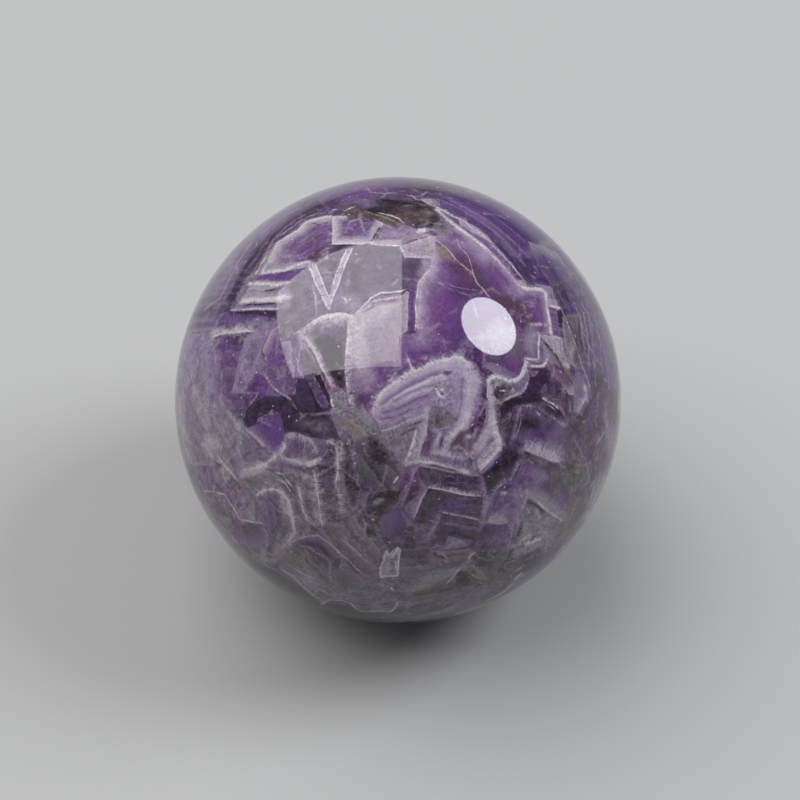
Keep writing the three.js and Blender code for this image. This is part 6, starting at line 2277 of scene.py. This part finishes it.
@dataclass
class AmethystBall:
    """The ball itself: one piece of chevron amethyst."""

    blank: Blank
    view: FaceView
    finish: ChevronAmethyst
    name: str = "amethyst_ball"
    foot_points: int = 60
    noise_seed: int = 7  # with 0 the clock would choose, and each run would differ

    def build(self) -> bpy.types.Object:
        """Build the ball's mesh and dress it.

        Returns:
            The ball.
        """
        noise.seed_set(self.noise_seed)
        crystals = GrownCrystals(self.blank).lay()
        crystals += [laid.crystal(self.view) for laid in FACE_CRYSTALS]
        mosaic = Mosaic(self.blank, self.view)
        outlines = [mosaic.add_line(crystal.corners, True) for crystal in crystals]
        middles = []
        for line in FACE_VEINS:
            middle, left, right = line.edges(self.view)
            middles.append(mosaic.add_line(middle, False))
            mosaic.add_line(left, False)
            mosaic.add_line(right, False)
        mosaic.join(self.foot_ring(), True)
        mosaic.fill()
        directions, triangles = mosaic.triangulate()
        painter = Painter(self.blank, self.view, crystals, outlines)
        owner = painter.owners(directions, triangles)
        log.info("%s: %d crystals, %d triangles", self.name, len(crystals), len(triangles))
        mesh = self.mesh(directions, triangles)
        values = painter.depths(directions[triangles], owner)
        values["ground"] = painter.ground(triangles, owner, len(directions))[triangles].reshape(-1, 4)
        ink, strand = painter.ink(directions, FACE_VEINS, middles)
        values["ink"] = ink[triangles].reshape(-1, 4)
        values["strand"] = strand[triangles].reshape(-1)
        values["wash"] = painter.wash(directions, FACE_CLOUDS)[triangles].reshape(-1, 4)
        self.store(mesh, values)
        ball = bpy.data.objects.new(self.name, mesh)
        bpy.context.scene.collection.objects.link(ball)
        mesh.materials.append(self.finish.material())
        return ball

    def foot_ring(self) -> np.ndarray:
        """The edge of the flat that the ball stands on, as unit directions."""
        around = np.arange(self.foot_points) * 2 * math.pi / self.foot_points
        angle = self.blank.foot_angle
        across = math.sin(angle)
        return np.stack(
            [np.cos(around) * across, np.sin(around) * across, np.full(len(around), -math.cos(angle))], 1
        )

    def mesh(self, directions: np.ndarray, triangles: np.ndarray) -> bpy.types.Mesh:
        """Make the mesh with its foot ground flat.

        Args:
            directions: Unit directions of its points.
            triangles: Rows of three point numbers.

        Returns:
            The mesh, in metres.
        """
        places = directions * self.blank.radius
        low = directions[:, 2] < -math.cos(self.blank.foot_angle) + 1e-5
        places[low] *= (-self.blank.centre_height / places[low][:, 2])[:, None]
        places[:, 2] += self.blank.centre_height
        mesh = bpy.data.meshes.new(self.name)
        mesh.from_pydata((places * MM).tolist(), [], triangles.tolist())
        mesh.validate()
        mesh.update()
        normals = directions.copy()
        mesh.polygons.foreach_set("use_smooth", [True] * len(mesh.polygons))
        corner_normals = normals[triangles].reshape(-1, 3)
        foot = low[triangles].all(1)
        corner_normals[np.repeat(foot, 3)] = (0.0, 0.0, -1.0)
        mesh.normals_split_custom_set(corner_normals.tolist())
        self.unwrap(mesh, directions, triangles)
        return mesh

    def unwrap(self, mesh: bpy.types.Mesh, directions: np.ndarray, triangles: np.ndarray) -> None:
        """Unfold the ball onto the six faces of a cube, three across and two up."""
        middles = directions[triangles].mean(1)
        axis = np.abs(middles).argmax(1)
        sign = np.sign(np.take_along_axis(middles, axis[:, None], 1))[:, 0]
        corners = directions[triangles]
        rows = np.arange(len(triangles))
        depth = corners[rows, :, axis] * sign[:, None]
        first = corners[rows, :, (axis + 1) % 3] * sign[:, None]
        second = corners[rows, :, (axis + 2) % 3]
        u = np.arctan2(first, depth) / (math.pi / 2)
        v = np.arctan2(second, depth) / (math.pi / 2)
        fit = 0.94
        cell_x = axis
        cell_y = (sign < 0).astype(int)
        layer = mesh.uv_layers.new(name="OFBake")
        spread = np.stack(
            [(cell_x[:, None] + 0.5 + u * fit) / 3, (cell_y[:, None] + 0.5 + v * fit) / 2], 2
        )
        layer.data.foreach_set("uv", spread.reshape(-1))

    def store(self, mesh: bpy.types.Mesh, values: dict[str, np.ndarray]) -> None:
        """Put values on the mesh's corners as attributes."""
        for name, rows in values.items():
            kind = {1: "FLOAT", 3: "FLOAT_VECTOR", 4: "FLOAT_COLOR"}[1 if rows.ndim == 1 else rows.shape[1]]
            layer = mesh.attributes.new(name, kind, "CORNER")
            member = {"FLOAT": "value", "FLOAT_VECTOR": "vector", "FLOAT_COLOR": "color"}[kind]
            layer.data.foreach_set(member, rows.astype(np.float32).reshape(-1))


@dataclass
class Studio:
    """A plain floor under soft light: a wide softbox overhead and a small round lamp to the right."""

    centre_height: float  # of the ball, in metres
    softbox_height: float = 0.9
    softbox_radiance: float = 3.0
    lamp_distance: float = 0.8
    lamp_radiance: float = 11.6
    lamp_tint: str = "f8fbff"
    floor_albedo: str = "a8a8a8"

    def build(self) -> bpy.types.Object:
        """Build the floor and the lights.

        Returns:
            The floor.
        """
        self.softbox()
        self.lamp()
        self.world()
        return self.floor()

    def softbox(self) -> None:
        """Hang the softbox, level, over the ball's left."""
        height = self.softbox_height
        left, right, near, far = -1.5 * height, 0.03 * height, -0.55 * height, 0.9 * height
        data = bpy.data.lights.new("softbox", "AREA")
        data.shape = "RECTANGLE"
        data.size = right - left
        data.size_y = far - near
        data.energy = self.softbox_radiance * math.pi * data.size * data.size_y
        lamp = bpy.data.objects.new("softbox", data)
        lamp.location = ((left + right) / 2, (near + far) / 2, height + self.centre_height)
        bpy.context.scene.collection.objects.link(lamp)

    def lamp(self) -> None:
        """Set the round lamp up, turned towards the ball."""
        way = Vector((0.67, 0.03, 0.74)).normalized()
        data = bpy.data.lights.new("round_lamp", "AREA")
        data.shape = "DISK"
        data.size = 2 * self.lamp_distance * math.tan(math.radians(13.5))
        data.energy = self.lamp_radiance * math.pi * math.pi * data.size**2 / 4
        data.color = linear(self.lamp_tint)
        lamp = bpy.data.objects.new("round_lamp", data)
        lamp.location = way * self.lamp_distance + Vector((0, 0, self.centre_height))
        lamp.rotation_mode = "QUATERNION"
        lamp.rotation_quaternion = way.to_track_quat("Z", "Y")
        bpy.context.scene.collection.objects.link(lamp)

    def world(self) -> None:
        """Fill the room with a weak even light."""
        world = bpy.data.worlds.new("studio")
        world.use_nodes = True
        background = world.node_tree.nodes["Background"]
        background.inputs["Color"].default_value = (1, 1, 1, 1)
        background.inputs["Strength"].default_value = 0.16
        bpy.context.scene.world = world

    def floor(self) -> bpy.types.Object:
        """Lay the floor.

        Returns:
            The floor.
        """
        half = 3.0
        mesh = bpy.data.meshes.new("floor")
        corners = [(-half, -half, 0), (half, -half, 0), (half, half, 0), (-half, half, 0)]
        mesh.from_pydata(corners, [], [(0, 1, 2, 3)])
        paper = bpy.data.materials.new("matt_grey_paper")
        paper.use_nodes = True
        shader = paper.node_tree.nodes["Principled BSDF"]
        shader.inputs["Base Color"].default_value = (*linear(self.floor_albedo), 1)
        shader.inputs["Roughness"].default_value = 0.9
        shader.inputs["Specular IOR Level"].default_value = 0.1
        mesh.materials.append(paper)
        floor = bpy.data.objects.new("floor", mesh)
        bpy.context.scene.collection.objects.link(floor)
        return floor


@dataclass
class StudioCamera:
    """The camera, where it stood for the photograph."""

    view: FaceView
    lens: float = 100.0  # mm
    sensor: float = 36.0  # mm
    frame: int = 800  # pixels across the picture
    centre: tuple[float, float] = (398.0, 400.0)  # the ball's centre in the picture

    def place(self) -> bpy.types.Object:
        """Stand the camera up and make it the scene's own.

        Returns:
            The camera.
        """
        data = bpy.data.cameras.new("studio_camera")
        data.lens = self.lens
        data.sensor_width = self.sensor
        data.sensor_fit = "HORIZONTAL"
        data.shift_x = (self.frame / 2 - self.centre[0]) / self.frame
        data.shift_y = (self.centre[1] - self.frame / 2) / self.frame
        data.clip_start = 0.01
        camera = bpy.data.objects.new("studio_camera", data)
        toward = Vector(self.view.axes()[2])
        camera.location = toward * self.view.distance * MM
        camera.location.z += self.view.blank.centre_height * MM
        camera.rotation_mode = "QUATERNION"
        camera.rotation_quaternion = toward.to_track_quat("Z", "Y")
        bpy.context.scene.collection.objects.link(camera)
        bpy.context.scene.camera = camera
        return camera


def main() -> None:
    """Build the ball, the studio and the camera in order."""
    logging.basicConfig(level=logging.INFO, format="%(message)s")
    low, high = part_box("amethyst_sphere")
    width = (high.x - low.x) / MM
    height = (high.z - low.z) / MM
    radius = width / 2
    foot_radius = math.sqrt(radius**2 - (height - radius) ** 2)
    blank = Blank(radius, foot_radius)
    view = FaceView(blank)
    StudioCamera(view).place()
    ball = AmethystBall(blank, view, ChevronAmethyst()).build()
    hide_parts("amethyst_sphere")
    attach(ball, "root")
    floor = Studio(blank.centre_height * MM).build()
    bpy.context.scene.view_settings.view_transform = "Standard"


if __name__ == "__main__":
    main()
